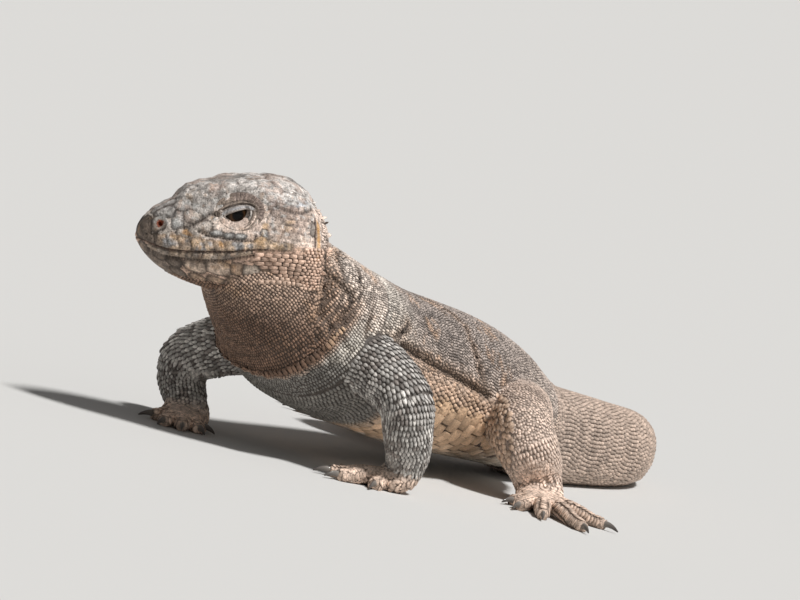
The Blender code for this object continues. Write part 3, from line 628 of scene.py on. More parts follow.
def baseTones(points, owners):
    # Colours by place, before the shields and the marks of the head
    inBody = points - bodyOrigin
    behind, side, up = inHead(points).T
    x, y, z = inBody.T
    torso, tail, neck, isHead = (namedOwners(name)[owners] for name in ("torso", "tail", "neck", "head"))
    result = np.tile(np.asarray(tones["back"]), (len(points), 1))

    def paint(mask, name):
        nonlocal result
        result = blend(result, tones[name], mask)

    patch = grain(points, 7.0, 1)
    net = 1 - np.clip(np.abs(grain(points, 4.4, 7) - 0.5) / 0.07, 0, 1)
    rusty = 0.6 * grain(points, 6.0, 3) + 0.4 * grain(points, 2.0, 8)
    knots = np.array(spine["points"])[::-1]
    above = z - np.interp(x, knots[:, 0], knots[:, 2])
    topSide = rise(above + 8 * (patch - 0.5), 3.0, 12) * 0.9
    paint(torso * topSide * softStep((x + 40 + 10 * (patch - 0.5)) / 80), "saddle")
    paint(torso * net * rise(above, -8, 8) * np.clip((x + 10) / 60, 0.1, 1) * 0.75, "backDark")
    paint(torso * rise(patch, 0.58, 0.2) * rise(x, 20, 40) * 0.4, "backDark")
    paint(torso * rise(rusty, 0.58, 1 / 6) * (x > 25) * rise(z, 24, 8) * 0.5, "rust")
    golden = 31.0 - 0.16 * (75 - x) + 6 * (patch - 0.5)
    paint(torso * rise(z, golden + 7, -6) * (np.abs(y) > 6) * (x < 92), "flankLow")
    paint(torso * rise(z, golden, -4) * (np.abs(y) > 6), "plates")
    paint(torso * rise(z, 12.0, -6), "belly")
    # The low front of the chest gets the dark chest tone, painted shade
    paint(torso * rise(x, 84, 8) * rise(z, 38, -8), "chest")
    paint(torso * softStep((x - 78) / 22) * rise(z, 36, 8) * 0.6, "shoulder")
    paint(neck, "neck")
    paint(neck * rise(patch, 0.52, 0.25) * 0.5 * (z > 46), "backDark")
    paint(neck * net * 0.55 * (z > 44), "backDark")
    paint(neck * rise(above, 6, 8) * 0.6, "saddle")
    ahead = collarAhead(inBody)
    paint(neck * rise(ahead, 1.0, -3) * rise(z, 50.0, -8), "shoulder")
    # Painted shade low on the neck behind the collar, in the dark chest tone
    paint(neck * rise(ahead, 1.0, -3) * rise(z, 38.0, -6), "chest")
    gularTop = 56.0 + 11.0 * rise(ahead, 7.0, 5)
    paint(neck * rise(ahead, -2.0, 3) * rise(z, gularTop, -8), "gular")
    # The throat low down at the front: its own brown, darkened with painted shade
    paint(neck * rise(ahead, -2.0, 3) * rise(z, 53.0, -13), "throat")
    paint(neck * rise(rusty, 0.60, 1 / 6) * (z > 45) * 0.5, "rust")
    paint(namedOwners("upper_arm", "forearm", "hand")[owners], "arm")
    spotted = np.maximum(specks(points, 1.7, 46, 0.56, 9) * 0.8, 0.4 * net)
    paint(namedOwners("upper_arm", "forearm")[owners] * spotted, "backDark")
    paint(namedOwners("thigh", "shank", "foot")[owners], "leg")
    paint(namedOwners("hand", "foot")[owners] * rise(z, 9.0, -5), "foot")
    hip = namedOwners("thigh")[owners] * rise(np.abs(y), 31 + 8 * (patch - 0.5), -12)
    paint(hip * (0.35 + 0.5 * topSide), "saddle")
    paint(tail, "tail")
    fading = softStep((x + 75 + 16 * (patch - 0.5)) / 70)
    paint(tail * np.maximum(topSide * 0.45, 0.25) * fading, "saddle")
    paint(foldShare(inBody, 2.6)[0] * 0.45 * (torso | neck), "rust")
    paint(isHead, "jowl")
    gap = up - mouthHeight(behind)
    paint(isHead * rise(gap, 1.0, 1.5), "temple")
    paint(isHead * rise(up - 1.5 * (patch - 0.5), 14.0, 1.5), "crown")
    paint(isHead * rise(gap, 2.0, 2.0) * rise(behind, 24.0, -6), "loreal")
    paint(isHead * rise(up, 10.0, 1.5) * rise(behind, 26.0, -4), "crown")
    # Under the head: the throat tone, partly its own brown and partly painted shade
    paint(isHead * rise(up - 0.03 * behind, -10.5, -2), "throat")
    # The front of the lower jaw gets the dark chin tone, painted shade
    paint(isHead * rise(behind, 14.0, -3) * rise(gap, -1.0, -1), "chinDark")
    result *= (0.80 + 0.28 * patch + 0.14 * grain(points, 2.2, 2))[:, None]
    return result


def headMarkings(local, tone):
    behind, side, up = local.T
    flat = local * (1, 0, 1)
    blotch = 0.5 * grain(flat, 2.2, 21) + 0.5 * grain(flat, 0.9, 22) - 0.5
    for middle, high, half, tall, name, strength in headMarks:
        reach = np.hypot((behind - middle) / half, (up - high) / tall) + 2.2 * blotch
        tone = blend(tone, tones[name], np.clip((1.05 - reach) * 1.5, 0, 1) * strength * (np.abs(side) > 3.5))
    return tone


def rimmed(edge):
    # Height of a worn shield against the distance in from its seam, and the darkness of the seam
    seam = np.exp(-((edge / shields["width"]) ** 2))
    return np.clip(edge / shields["edge"], 0, 1) ** 0.6, seam


def sculptHead(local, tone, seeds, under):
    # Moves along the normal and colours for the points of the head
    behind, side, up = local.T
    gap = up - mouthHeight(behind)
    flank = rise(np.abs(side), 2.0, 1.5)
    first, near, edge = nearestShields(local, seeds)
    ruled = (near < shields["reach"]) & ~under
    full, seam = rimmed(np.maximum(edge, 0))
    rough = seeds[first, 5] < shields["roughUnder"]
    depth = np.where(rough, shields["roughDepth"], shields["depth"])
    move = np.where(ruled, seeds[first, 5] * full - depth * seam, 0.0)
    shieldTone = toneTable[seeds[first, 6].astype(int)]
    shieldTone = shieldTone * (0.90 + 0.20 * hashed(first, first * 3, first * 7, 5))[:, None]
    tone = np.where(ruled[:, None], shieldTone, tone)
    dark = np.where(ruled, seam * np.where(rough, shields["roughDark"], shields["dark"]), 0.0)
    for name, lip, way in (("upperLip", upperLip, 1), ("lowerLip", lowerLip, -1)):
        tall = np.interp(behind, lip["behind"], lip["height"])
        inner = gap * way
        away, number = lipSeams(behind, gap, lip)
        inLip = (inner > 0.2) & (inner < tall) & (behind < lip["seams"][-1]) & (behind > lip["seams"][0])
        full, seam = rimmed(np.maximum(np.minimum(np.minimum(away, tall - inner), (inner - 0.2) * 1.5), 0))
        lipTone = np.array(tones[name]) * (0.92 + 0.16 * hashed(number, number * 5, number * 11, 9))[:, None]
        lipTone = blend(lipTone, tones["bluish"], specks(local, 1.7, 12, 0.52, 6) * lip["mottle"])
        lipTone = blend(lipTone, tones["backDark"], specks(local, 1.2, 13, 0.58, 7) * 0.6)
        # The front of the upper lip darkens to the snout tip's tone, painted shade
        lipTone = blend(lipTone, tones["snoutTip"], rise(behind, 8.5, -3) * (way > 0))
        move = np.where(inLip, 0.22 * full - lip["seamDepth"] * seam, move)
        tone = np.where(inLip[:, None], lipTone, tone)
        dark = np.where(inLip, seam * lip["seamDark"] * (0.4 + 1.2 * grain(local, 1.3, 14)), dark)
    tone = headMarkings(local, tone)
    # The creases are pressed in and darkened with painted shade
    for line, deep, width, creaseShade in headCreases:
        distance = creaseDistance(behind, up, line)
        share = bump(distance, 0.0, width) * flank
        move = move * (1 - share) - deep * share + 0.25 * deep * bump(distance, 2.2 * width, width) * flank
        dark = np.maximum(dark, share * creaseShade)
    worn = rise(up, 4.0, 4)
    move += worn * 0.24 * (grain(local, 1.5, 31) - 0.5) + worn * 0.16 * (grain(local, 0.8, 32) - 0.5)
    move += rise(up, 13.0, 3) * 0.7 * (grain(local, 3.4, 37) - 0.5)
    tone = tone * (0.52 + 0.94 * grain(local, 0.9, 6))[:, None] * (0.78 + 0.44 * grain(local, 4.0, 35))[:, None]
    # The mouth line is pressed in here and darkened below with painted shade
    narrow = mouth["width"] * (1 - 0.35 * rise(behind, 18, 16))
    inMouth = bump(gap, 0.0, narrow) * rise(behind, mouth["end"], -mouth["fade"])
    move = move * (1 - inMouth) - mouth["depth"] * inMouth
    # Nostril: a raised rim with a painted highlight on its upper half, round a reddish-dark hole
    hole = np.hypot(behind - nostril[0], up - nostril[2])
    move += 0.22 * bump(hole, 2.0, 0.5) * flank
    for name, share in (
        ("backDark", specks(local, 1.1, 33, 0.60, 7) * 0.7 * (0.5 + 0.5 * worn)),
        ("rust", specks(local, 1.6, 36, 0.72, 8) * 0.4),
        ("pink", specks(local, 4.2, 38, 0.5, 6) * 0.55 * worn),
        ("pale", specks(local, 1.0, 34, 0.66, 8) * 0.7 * worn),
        ("between", dark),
        ("mouth", inMouth * 1.1),
        ("pale", bump(hole, 1.9, 0.4) * flank * 0.5 * (up > nostril[2])),
    ):
        tone = blend(tone, tones[name], share)
    inHole = (hole < 1.35) & (np.abs(side) < 6.4)
    return move, np.where(inHole[:, None], tones["nostril"], tone)


def earSlit(local):
    # Share of the slit, darkened with painted shade, and of the bare flap behind it
    behind, side, up = local.T
    at = behind - ear["behind"] + ear["lean"] * (up - ear["up"])
    tall = rise(np.abs(up - ear["up"]), ear["half"], -1.5) * (np.abs(side) > 13)
    slit = bump(at, 0.0, ear["width"] * 0.55) * tall * rise(up, 2.5, 2.5)
    return slit, rise(at, 0.3, 0.5) * rise(at, ear["flap"] + 0.3, -0.4) * tall


def sculpt(obj):
    # Presses the shields, the mouth and the folds into the skin, and colours it
    mesh = obj.data
    points = coordinates(mesh)
    owners = ownersOf(points)
    away = coordinates(mesh, "normal")
    tree = surfaceTree(mesh)
    local = inHead(points)
    behind, side, up = local.T
    tone = baseTones(points, owners)
    move = np.zeros(len(points))
    front = np.flatnonzero(namedOwners("head")[owners] & (behind < 54.5))
    inOrbit = (orbitReach(behind[front], up[front]) < 1.0) & (np.abs(side[front]) > 8.0)
    move[front], tone[front] = sculptHead(local[front], tone[front], seedShields(tree), inOrbit)
    # The share of the skin that no scales cover
    bare = np.zeros(len(points))
    bare[front] = rise((up - mouthHeight(behind))[front], -1.0, 0.5) * rise(behind[front], 54.3, -0.8)
    bare[front] = np.maximum(bare[front], (behind[front] < 41.0) & (up[front] > -11.4))
    slit, flap = earSlit(local)
    move -= 0.5 * slit + 0.25 * flap
    tone = blend(tone, tones["tan"], flap)
    tone = blend(tone, tones["orange"], flap * specks(points, 2.0, 41, 0.35, 3) * 0.7)
    # The ear's slit is filled with painted shade
    tone = blend(tone, tones["mouth"], slit * 1.2)
    bare = np.maximum(bare, np.maximum(slit, flap) > 0.2)
    for name in clawNames:
        bare = np.maximum(bare, np.linalg.norm(points - middleOf(name), axis=1) < 5.2)
    foldMove = foldShare(points - bodyOrigin)[1]
    ahead = collarAhead(points - bodyOrigin)
    lip = np.where(ahead > 0, np.exp(-ahead / collar["reach"]), np.exp(ahead / 0.8))
    low = rise(points[:, 2] - bodyOrigin[2], collar["top"], -8) * (points[:, 0] - bodyOrigin[0] > 112)
    move += namedOwners("neck", "torso")[owners] * (foldMove + collar["rise"] * lip * low)
    points = points + away * move[:, None]
    tucked = np.flatnonzero((np.abs(side) > 8.0) & (orbitReach(behind, up) < 0.72))
    for eye in (1, -1):
        middle = headPoint(head["eye"][0], eye * head["eye"][1], head["eye"][2])
        out = points[tucked] - middle
        distance = np.linalg.norm(out, axis=1)
        near = (distance < eyeRadius + 3.0) & (side[tucked] * eye > 0)
        points[tucked[near]] = middle + out[near] * ((eyeRadius - 0.5) / distance[near])[:, None]
    points[:, 2] = np.maximum(points[:, 2], 0.05)
    setCoordinates(mesh, points)
    # How much of the scales' colour lies between them; the rest is the dark between tone, painted shade in the gaps
    shown = np.where(namedOwners("thigh", "shank", "foot", "hand")[owners], 0.5, 0.22)
    shadedUnderScales = blend(np.tile(tones["between"], (len(points), 1)), tone, shown)
    setTint(mesh, blend(shadedUnderScales, tone, bare))
    return tree


skinBefore = sculpt(skinObject)
print("skin sculpted")


# Materials
def setInputs(tree, node, inputs):
    # Each input gets a value or another node's output
    for name, value in inputs.items():
        if isinstance(value, bpy.types.NodeSocket):
            tree.links.new(value, node.inputs[name])
        else:
            node.inputs[name].default_value = value
    return node


def addNode(tree, kind, inputs={}, **settings):
    node = tree.nodes.new(kind)
    for name, value in settings.items():
        setattr(node, name, value)
    return setInputs(tree, node, inputs)


def newMaterial(name):
    material = bpy.data.materials.new(name)
    material.use_nodes = True
    return material, material.node_tree


def tintOf(tree):
    return addNode(tree, "ShaderNodeAttribute", attribute_name="tint").outputs["Color"]


def setShader(tree, inputs):
    setInputs(tree, tree.nodes["Principled BSDF"], inputs)


def scaleyMaterial(name, roughness, speckle, bumpHeight, pits):
    # Colour from the tint attribute, broken up by fine speckle, with a fine dry bump
    material, tree = newMaterial(name)
    place = addNode(tree, "ShaderNodeTexCoord").outputs["Object"]

    def noise(scale, detail):
        node = addNode(tree, "ShaderNodeTexNoise", {"Vector": place, "Scale": scale, "Detail": detail})
        return node.outputs["Fac"]

    def ranged(source, low, high, dark, light):
        ends = {"Value": source, "From Min": low, "From Max": high, "To Min": dark, "To Max": light}
        return addNode(tree, "ShaderNodeMapRange", ends).outputs["Result"]

    def times(a, b):
        return addNode(tree, "ShaderNodeMath", {0: a, 1: b}, operation="MULTIPLY").outputs["Value"]

    last = times(ranged(noise(1900.0, 3.0), 0.32, 0.68, 1 - speckle, 1 + speckle * 0.7),
                 ranged(noise(420.0, 4.0), 0.35, 0.65, 1 - speckle * 0.5, 1 + speckle * 0.4))
    # Pits: small hollows in the bump, darkened with painted shade
    if pits:
        holes = addNode(tree, "ShaderNodeTexVoronoi", {"Vector": place, "Scale": pits})
        last = times(last, ranged(holes.outputs["Distance"], 0.10, 0.26, 0.42, 1.0))
    colour = addNode(tree, "ShaderNodeVectorMath", {0: tintOf(tree), "Scale": last}, operation="SCALE")
    relief = addNode(tree, "ShaderNodeBump", {"Strength": 0.6, "Distance": bumpHeight * mm, "Height": last})
    setShader(tree, {"Base Color": colour.outputs["Vector"], "Normal": relief.outputs["Normal"],
                     "Roughness": roughness, "Specular IOR Level": 0.35})
    return material


skinMaterial = scaleyMaterial("drySkin", 0.60, 0.42, 0.26, 900.0)
coatMaterial = scaleyMaterial("scaleHorn", 0.56, 0.28, 0.08, 0)
skinObject.data.materials.clear()
skinObject.data.materials.append(skinMaterial)
skinObject.data.shade_smooth()
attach(skinObject, "root")
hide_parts(*fleshNames)


# Paths that the rows of scales run round, in the body frame
limbs = {
    "arm_left": [(104.0, 8.0, 38.0), (104.5, 21.0, 36.0), (104.0, 32.5, 32.5), (104.5, 41.0, 27.0),
                 (103.5, 42.5, 19.5), (99.5, 42.0, 12.5), (97.5, 41.0, 7.8), (98.5, 39.4, 4.6), (101.0, 37.2, 2.6)],
    "arm_right": [(102.0, -8.0, 35.0), (102.5, -21.0, 31.0), (103.5, -33.0, 26.0), (104.0, -42.5, 20.5),
                  (104.2, -43.0, 14.5), (104.6, -40.0, 9.2), (105.5, -36.5, 6.2), (108.0, -35.0, 4.0),
                  (111.0, -33.8, 2.6)],
    "leg_left": [(-2.0, 6.0, 22.0), (8.0, 18.0, 22.0), (21.0, 28.0, 24.0), (31.0, 35.0, 24.0), (31.0, 39.5, 18.0),
                 (27.5, 42.0, 12.5), (25.0, 43.0, 8.0), (27.0, 46.0, 5.4), (30.5, 49.5, 3.0)],
    "leg_right": [(-2.0, -6.0, 22.0), (2.0, -18.0, 21.5), (6.0, -30.0, 22.0), (6.5, -38.5, 20.5),
                  (0.0, -43.0, 16.0), (-8.0, -45.5, 11.5), (-14.0, -47.0, 8.0), (-16.0, -50.5, 5.4),
                  (-17.0, -55.5, 3.0)],
}
digitArch = [(0.0, 2.7), (0.35, 3.5), (0.62, 3.0), (0.85, 1.65), (1.0, 1.6)]
digitLap = 3.0


def spinePath():
    points = [np.array(p) for p in spine["points"]]
    step = spine["tailLength"] / spine["tailSteps"]
    x, y = points[-1][:2]
    for k in range(1, spine["tailSteps"] + 1):
        share = k / spine["tailSteps"]
        heading = math.radians(np.interp(share, spine["tailShare"], spine["tailHeading"]))
        x -= math.cos(heading) * step
        y -= math.sin(heading) * step
        points.append(np.array([x, y, np.interp(share, spine["tailShare"], spine["tailHeight"])]))
    return np.array(points) + bodyOrigin


def lengthAlong(path):
    # Length from the start of a path to each of its points
    return np.concatenate([[0.0], np.cumsum(np.linalg.norm(np.diff(path, axis=0), axis=1))])


def placeAlong(path, reach, at):
    return np.stack([np.interp(at, reach, path[:, k]) for k in range(3)], axis=-1)


def nearestOn(path, spots):
    # Number of the path's point nearest to each place
    return np.array([np.argmin(((path - spot) ** 2).sum(axis=1)) for spot in spots], int)


def rounded(points, count):
    # The path again with evenly spaced points and its corners eased
    reach = lengthAlong(points)
    path = placeAlong(points, reach, np.linspace(0.0, reach[-1], count))
    for turn in range(8):
        path[1:-1] = (path[:-2] + 2 * path[1:-1] + path[2:]) / 4
    return path


def toePath(limb, claw):
    # From the palm or sole to the root of one claw
    tip = middleOf(claw)
    palm = np.array(limbs[limb][-1]) + bodyOrigin
    way = unit((tip - palm) * (1, 1, 0))
    start = palm - way * digitLap
    length = np.linalg.norm((tip - start)[:2]) - 2.0
    return np.array([start * (1, 1, 0) + way * length * share + (0, 0, up) for share, up in digitArch])


paths = {"spine": rounded(spinePath(), 400)}
paths["headAxis"] = np.array([headPoint(behind, 0.0, -2.0) for behind in np.linspace(8.0, 70.0, 74)])
limbEnds = {limb: ("hand" if limb.startswith("arm") else "foot", limb.split("_")[1]) for limb in limbs}
for limb, (kind, side) in limbEnds.items():
    paths[limb] = rounded(np.array(limbs[limb]) + bodyOrigin, 60)
    for digit in range(1, 6):
        paths[f"{kind}_{side}_{digit}"] = rounded(toePath(limb, f"claw_{kind}_{side}_{digit}"), 24)


skinMesh = skinObject.data
skinTree = surfaceTree(skinMesh)
skinPoints = coordinates(skinMesh)
faceCorners = np.array([p.vertices[:3] for p in skinMesh.polygons])
faceNormals = unit(coordinates(skinMesh, "normal")[faceCorners].sum(axis=1))
faceOwners = ownersOf(skinPoints[faceCorners].mean(axis=1))

# What a coat has unless it says otherwise: rows go from the top at 0 to the underside at 1
coatDefaults = {
    "band": (0.0, 1.0),
    "sides": (1, -1),
    "stagger": 0.5,                # shift of every other row, in scales
    "sway": 0.14,
    "vary": 0.12,                  # spread of the sizes
    "tilt": 10,
    "bright": 1.0,
    "shade": 1.0,                  # how dark the painted shade at the foot of a scale is
    "mottle": 0.56,
    "wash": ("leg", 0.0),          # a tone over all of it, and its share
    "slot": "body_skin",
    "only": lambda spots: np.ones(len(spots), bool),
}
raysRound = 72
longestStep = 6.0                  # between two rays' places on the skin, in millimetres
lowestRoot = 0.45                  # above the floor, in millimetres


def coatOf(**values):
    return {**coatDefaults, **values}


def meetSkin(start, way):
    # Where a ray meets the skin and the normal there, or nothing
    hit, out, face, away = skinTree.ray_cast(Vector(start * mm), Vector(way))
    return None if hit is None else (np.array(hit) / mm, np.array(out))


def rowsRound(coat):
    # Where rays from the path meet the skin: length, heading and a loop of points for each row
    path = paths[coat["path"]]
    reach = lengthAlong(path)
    at, end = coat["span"]
    end = min(end, reach[-1])
    rows = []
    while at < end:
        centre = placeAlong(path, reach, at)
        along = unit(placeAlong(path, reach, min(at + 3, reach[-1])) - placeAlong(path, reach, max(at - 3, 0)))
        left = unit(np.cross((0, 0, 1), -along)) if abs(along[2]) < 0.98 else np.array([0.0, 1.0, 0.0])
        top = np.cross(-along, left)
        loop = []
        for turn in 2 * math.pi * np.arange(raysRound) / raysRound:
            met = meetSkin(centre, top * math.cos(turn) + left * math.sin(turn))
            loop.append(met[0] if met else np.full(3, np.nan))
        rows.append((at, along, np.array(loop)))
        at += coat["step"]
    return rows


def layScales(coat):
    # Roots of one coat: place, normal, heading, size, tone and place on the unrolled skin
    chosen = random.Random(coat["seed"])
    found = []
    rows = rowsRound(coat)
    wide = coat["wide"]
    sway = coat["sway"] * wide
    for number, (at, along, loop) in enumerate(rows[:-1]):
        ahead = np.linalg.norm(rows[number + 1][2] - loop, axis=1) / coat["step"]
        for side in coat["sides"]:
            turn = (side * np.arange(raysRound // 2 + 1)) % raysRound
            half = loop[turn]
            lengths = np.linalg.norm(np.diff(half, axis=0), axis=1)
            if np.isnan(lengths).any():
                continue
            reach = lengthAlong(half)
            stretch = np.nan_to_num(ahead[turn], nan=1.0)
            place = wide * (coat["stagger"] if number % 2 else 0.0) + reach[-1] * coat["band"][0]
            place += wide * (side < 0 and place < 0.3 * wide)
            while place < reach[-1] * coat["band"][1]:
                spot = placeAlong(half, reach, place) + along * chosen.uniform(-sway, sway)
                spacing = np.interp(place, reach, stretch)
                if lengths[min(np.searchsorted(reach, place), len(lengths)) - 1] < longestStep:
                    found.append((*spot, *along, at, side * place, chosen.random(), chosen.random(), spacing))
                place += wide * chosen.uniform(0.92, 1.08)
    found = np.array(found)
    near = [skinTree.find_nearest(Vector(p * mm)) for p in found[:, :3]]
    spots, gone = (np.array([n[k] for n in near]) / mm for k in (0, 3))
    faces = np.array([n[2] for n in near])
    owners = ownersOf(spots)
    allowed = namedOwners(*coat["nodes"])[owners] & (gone < 1.2) & (spots[:, 2] > lowestRoot)
    allowed &= coat["only"](spots)
    spots, faces, found, owners = spots[allowed], faces[allowed], found[allowed], owners[allowed]
    size = np.tile(coat["size"], (len(spots), 1))
    size[:, 0] *= np.clip(found[:, 10], 0.72, 1.5)
    size = size * (1 + coat["vary"] * (2 * found[:, 8] - 1))[:, None]
    start, end = coat["span"]
    span = max(end - start, 2 * np.abs(found[:, 7]).max()) * 1.04
    unrolled = np.stack([0.02 + (found[:, 6] - start) / span, 0.5 + found[:, 7] / span], axis=1)
    return rooted(coat, spots, faceNormals[faces], found[:, 3:6], size, found[:, 9], owners, unrolled)


def rooted(coat, spots, out, heading, size, chance, owners, unrolled):
    # Turns places, normals and sizes into the roots of a coat, with their tones
    heading = unit(heading - out * (heading * out).sum(axis=1)[:, None])
    lifted = unit(out - heading * math.tan(math.radians(coat["tilt"])))
    tone = baseTones(spots, owners)
    deep = foldShare(spots - bodyOrigin)[0]
    name, share = coat["wash"]
    tone = blend(tone, tones[name], np.full(len(tone), share))
    tone = tone * (1 + coat["mottle"] * (chance - 0.5))[:, None] * coat["bright"]
    # Painted shade on scales that lie in folds and wrinkles
    tone = blend(tone, tones["between"], deep * 1.35)
    size = size * (1 - 0.35 * deep)[:, None]
    return {"spots": spots, "out": lifted, "heading": heading, "size": size, "tone": tone, "unrolled": unrolled}


def evenlySpread(corners, coat, chosen):
    # Places on triangles that keep a distance from one another, and the triangle of each
    cross = np.cross(corners[:, 1] - corners[:, 0], corners[:, 2] - corners[:, 0])
    area = np.linalg.norm(cross, axis=1) / 2
    count = int(coat["tries"] * area.sum() / coat["apart"] ** 2)
    picked = chosen.choice(len(corners), size=count, p=area / area.sum())
    a, b = chosen.random((2, count, 1))
    a, b = np.where(a + b > 1, 1 - a, a), np.where(a + b > 1, 1 - b, b)
    spots = corners[picked, 0] * (1 - a - b) + corners[picked, 1] * a + corners[picked, 2] * b
    near = KDTree(count)
    for k, spot in enumerate(spots):
        near.insert(Vector(spot), k)
    near.balance()
    free = np.ones(count, bool)
    kept = []
    for k in range(count):
        if free[k]:
            kept.append(k)
            for found in near.find_range(Vector(spots[k]), coat["apart"]):
                free[found[1]] = False
    return spots[kept], picked[kept]


def layScattered(coat):
    # Roots of fine scales spread evenly over the skin of some nodes, each headed along their path
    chosen = np.random.default_rng(coat["seed"])
    mine = np.flatnonzero(namedOwners(*coat["nodes"])[faceOwners])
    mine = mine[coat["only"](skinPoints[faceCorners[mine]].mean(axis=1))]
    spots, faces = evenlySpread(skinPoints[faceCorners[mine]], coat, chosen)
    allowed = (spots[:, 2] > lowestRoot) & coat["only"](spots)
    spots, faces = spots[allowed], mine[faces[allowed]]
    path = paths[coat["path"]]
    reach = lengthAlong(path)
    closest = nearestOn(path, spots)
    heading = unit(np.gradient(path, axis=0))[closest]
    chance = chosen.random((3, len(spots)))
    size = np.tile(coat["size"], (len(spots), 1)) * (1 + coat["vary"] * (2 * chance[0] - 1))[:, None]
    away = spots - path[closest]
    aside = unit(np.cross((0, 0, 1), heading))
    turned = np.arctan2((away * aside).sum(axis=1), away[:, 2]) * np.linalg.norm(away, axis=1)
    span = max(reach[-1], 2 * np.abs(turned).max()) * 1.04
    unrolled = np.stack([0.02 + reach[closest] / span, 0.5 + turned / span], axis=1)
    return rooted(coat, spots, faceNormals[faces], heading, size, chance[1], faceOwners[faces], unrolled)


def laySideRows(coat, rows, lengthAt):
    # Tiles of the jaw in rows that follow the mouth, laid from the side on both cheeks
    chosen = random.Random(coat["seed"])
    found = []
    for number, (under, start, end) in enumerate(rows):
        for side in (1, -1):
            behind = start + 0.5 * (number % 2) * lengthAt(start)
            while behind < end:
                long = lengthAt(behind) * chosen.uniform(0.86, 1.14)
                middle = behind + long / 2
                spot = headPoint(middle, side * 40.0, mouthHeight(middle) - under + chosen.uniform(-0.12, 0.12))
                met = meetSkin(spot, -headLeft * side)
                if met:
                    found.append((*met[0], *met[1], long, middle, side, chosen.random(), under))
                behind += long
    found = np.array(found)
    found = found[coat["only"](found[:, :3])]
    spots = found[:, :3]
    before, after = (np.array([headPoint(b, 0, mouthHeight(b)) for b in found[:, 7] + step]) for step in (-1, 1))
    size = np.tile(coat["size"], (len(found), 1))
    size[:, 0] *= found[:, 6]
    unrolled = np.stack([found[:, 7] / 60.0, 0.5 + found[:, 8] * (0.1 + found[:, 10] / 60.0)], axis=1)
    return rooted(coat, spots, found[:, 3:6], after - before, size, found[:, 9], ownersOf(spots), unrolled)


def together(pieces, across):
    # Several sets of roots as one, each with its own square of the unrolled skin
    down = math.ceil(len(pieces) / across)
    for number, piece in enumerate(pieces):
        corner = np.array([(number % across) / across, (number // across) / down])
        piece["unrolled"] = piece["unrolled"] / max(across, down) + corner
    return {key: np.concatenate([piece[key] for piece in pieces]) for key in pieces[0]}


def scaleShape(name, sides, square, crown, point):
    # One closed scale a unit long: a rim, a bevel up to the crown, a low top and a hollow foot
    around = np.arange(sides) * 2 * math.pi / sides + math.pi / sides
    x, y = np.cos(around), np.sin(around)
    swell = (np.abs(x) ** square + np.abs(y) ** square) ** (-1 / square)
    x, y = x * swell, y * swell * (1 - point * np.clip(x, 0, 1))
    rings = [(1.0, 0.0), (crown, 0.40)]
    points = [(0.5 * share * a, 0.5 * share * b, up) for share, up in rings for a, b in zip(x, y)]
    points += [(0.0, 0.0, -0.6), (0.06, 0.0, 0.5)]
    faces = []
    for k in range(sides):
        m = (k + 1) % sides
        faces.append((2 * sides, m, k))
        faces.append((k, m, sides + m, sides + k))
        faces.append((sides + k, sides + m, 2 * sides + 1))
    mesh = bpy.data.meshes.new(name)
    mesh.from_pydata(points, [], faces)
    mesh.shade_smooth()
    writeValues(mesh, "local", np.array(points))
    return newObject(name, mesh)


def coatTree():
    # Sets a scale on every root, turned to its normal and heading, and makes one mesh of them
    tree = bpy.data.node_groups.new("coatOfScales", "GeometryNodeTree")
    for name, kind in (("Roots", "Geometry"), ("Scale", "Object"), ("Length Share", "Float"),
                       ("Width Share", "Float"), ("Size Spread", "Float"), ("Seed", "Int"),
                       ("Finish", "Material")):
        tree.interface.new_socket(name, in_out="INPUT", socket_type="NodeSocket" + kind)
    tree.interface.new_socket("Coat", in_out="OUTPUT", socket_type="NodeSocketGeometry")
    given = addNode(tree, "NodeGroupInput").outputs

    def named(name):
        node = addNode(tree, "GeometryNodeInputNamedAttribute", {"Name": name}, data_type="FLOAT_VECTOR")
        return node.outputs["Attribute"]

    def fromOne(way):
        return addNode(tree, "ShaderNodeMath", {0: 1.0, 1: given["Size Spread"]}, operation=way).outputs["Value"]

    axes = {"Primary Axis": named("out"), "Secondary Axis": named("heading")}
    turn = addNode(tree, "FunctionNodeAxesToRotation", axes, primary_axis="Z", secondary_axis="X")
    share = addNode(tree, "ShaderNodeCombineXYZ",
                    {"X": given["Length Share"], "Y": given["Width Share"], "Z": 1.0})
    sized = addNode(tree, "ShaderNodeVectorMath", {0: named("size"), 1: share.outputs["Vector"]},
                    operation="MULTIPLY")
    # Sockets 2 and 3 are the least and the most of a plain number, and output 1 is that number
    ends = {2: fromOne("SUBTRACT"), 3: fromOne("ADD"), "Seed": given["Seed"]}
    spread = addNode(tree, "FunctionNodeRandomValue", ends).outputs[1]
    varied = addNode(tree, "ShaderNodeVectorMath", {0: sized.outputs["Vector"], "Scale": spread},
                     operation="SCALE")
    seen = addNode(tree, "GeometryNodeObjectInfo", {"Object": given["Scale"]})
    placed = addNode(tree, "GeometryNodeInstanceOnPoints", {
        "Points": given["Roots"],
        "Instance": seen.outputs["Geometry"],
        "Rotation": turn.outputs["Rotation"],
        "Scale": varied.outputs["Vector"],
    })
    real = addNode(tree, "GeometryNodeRealizeInstances", {"Geometry": placed.outputs["Instances"]})
    finish = addNode(tree, "GeometryNodeSetMaterial",
                     {"Geometry": real.outputs["Geometry"], "Material": given["Finish"]})
    addNode(tree, "NodeGroupOutput", {"Coat": finish.outputs["Geometry"]})
    return tree


scaleTree = coatTree()
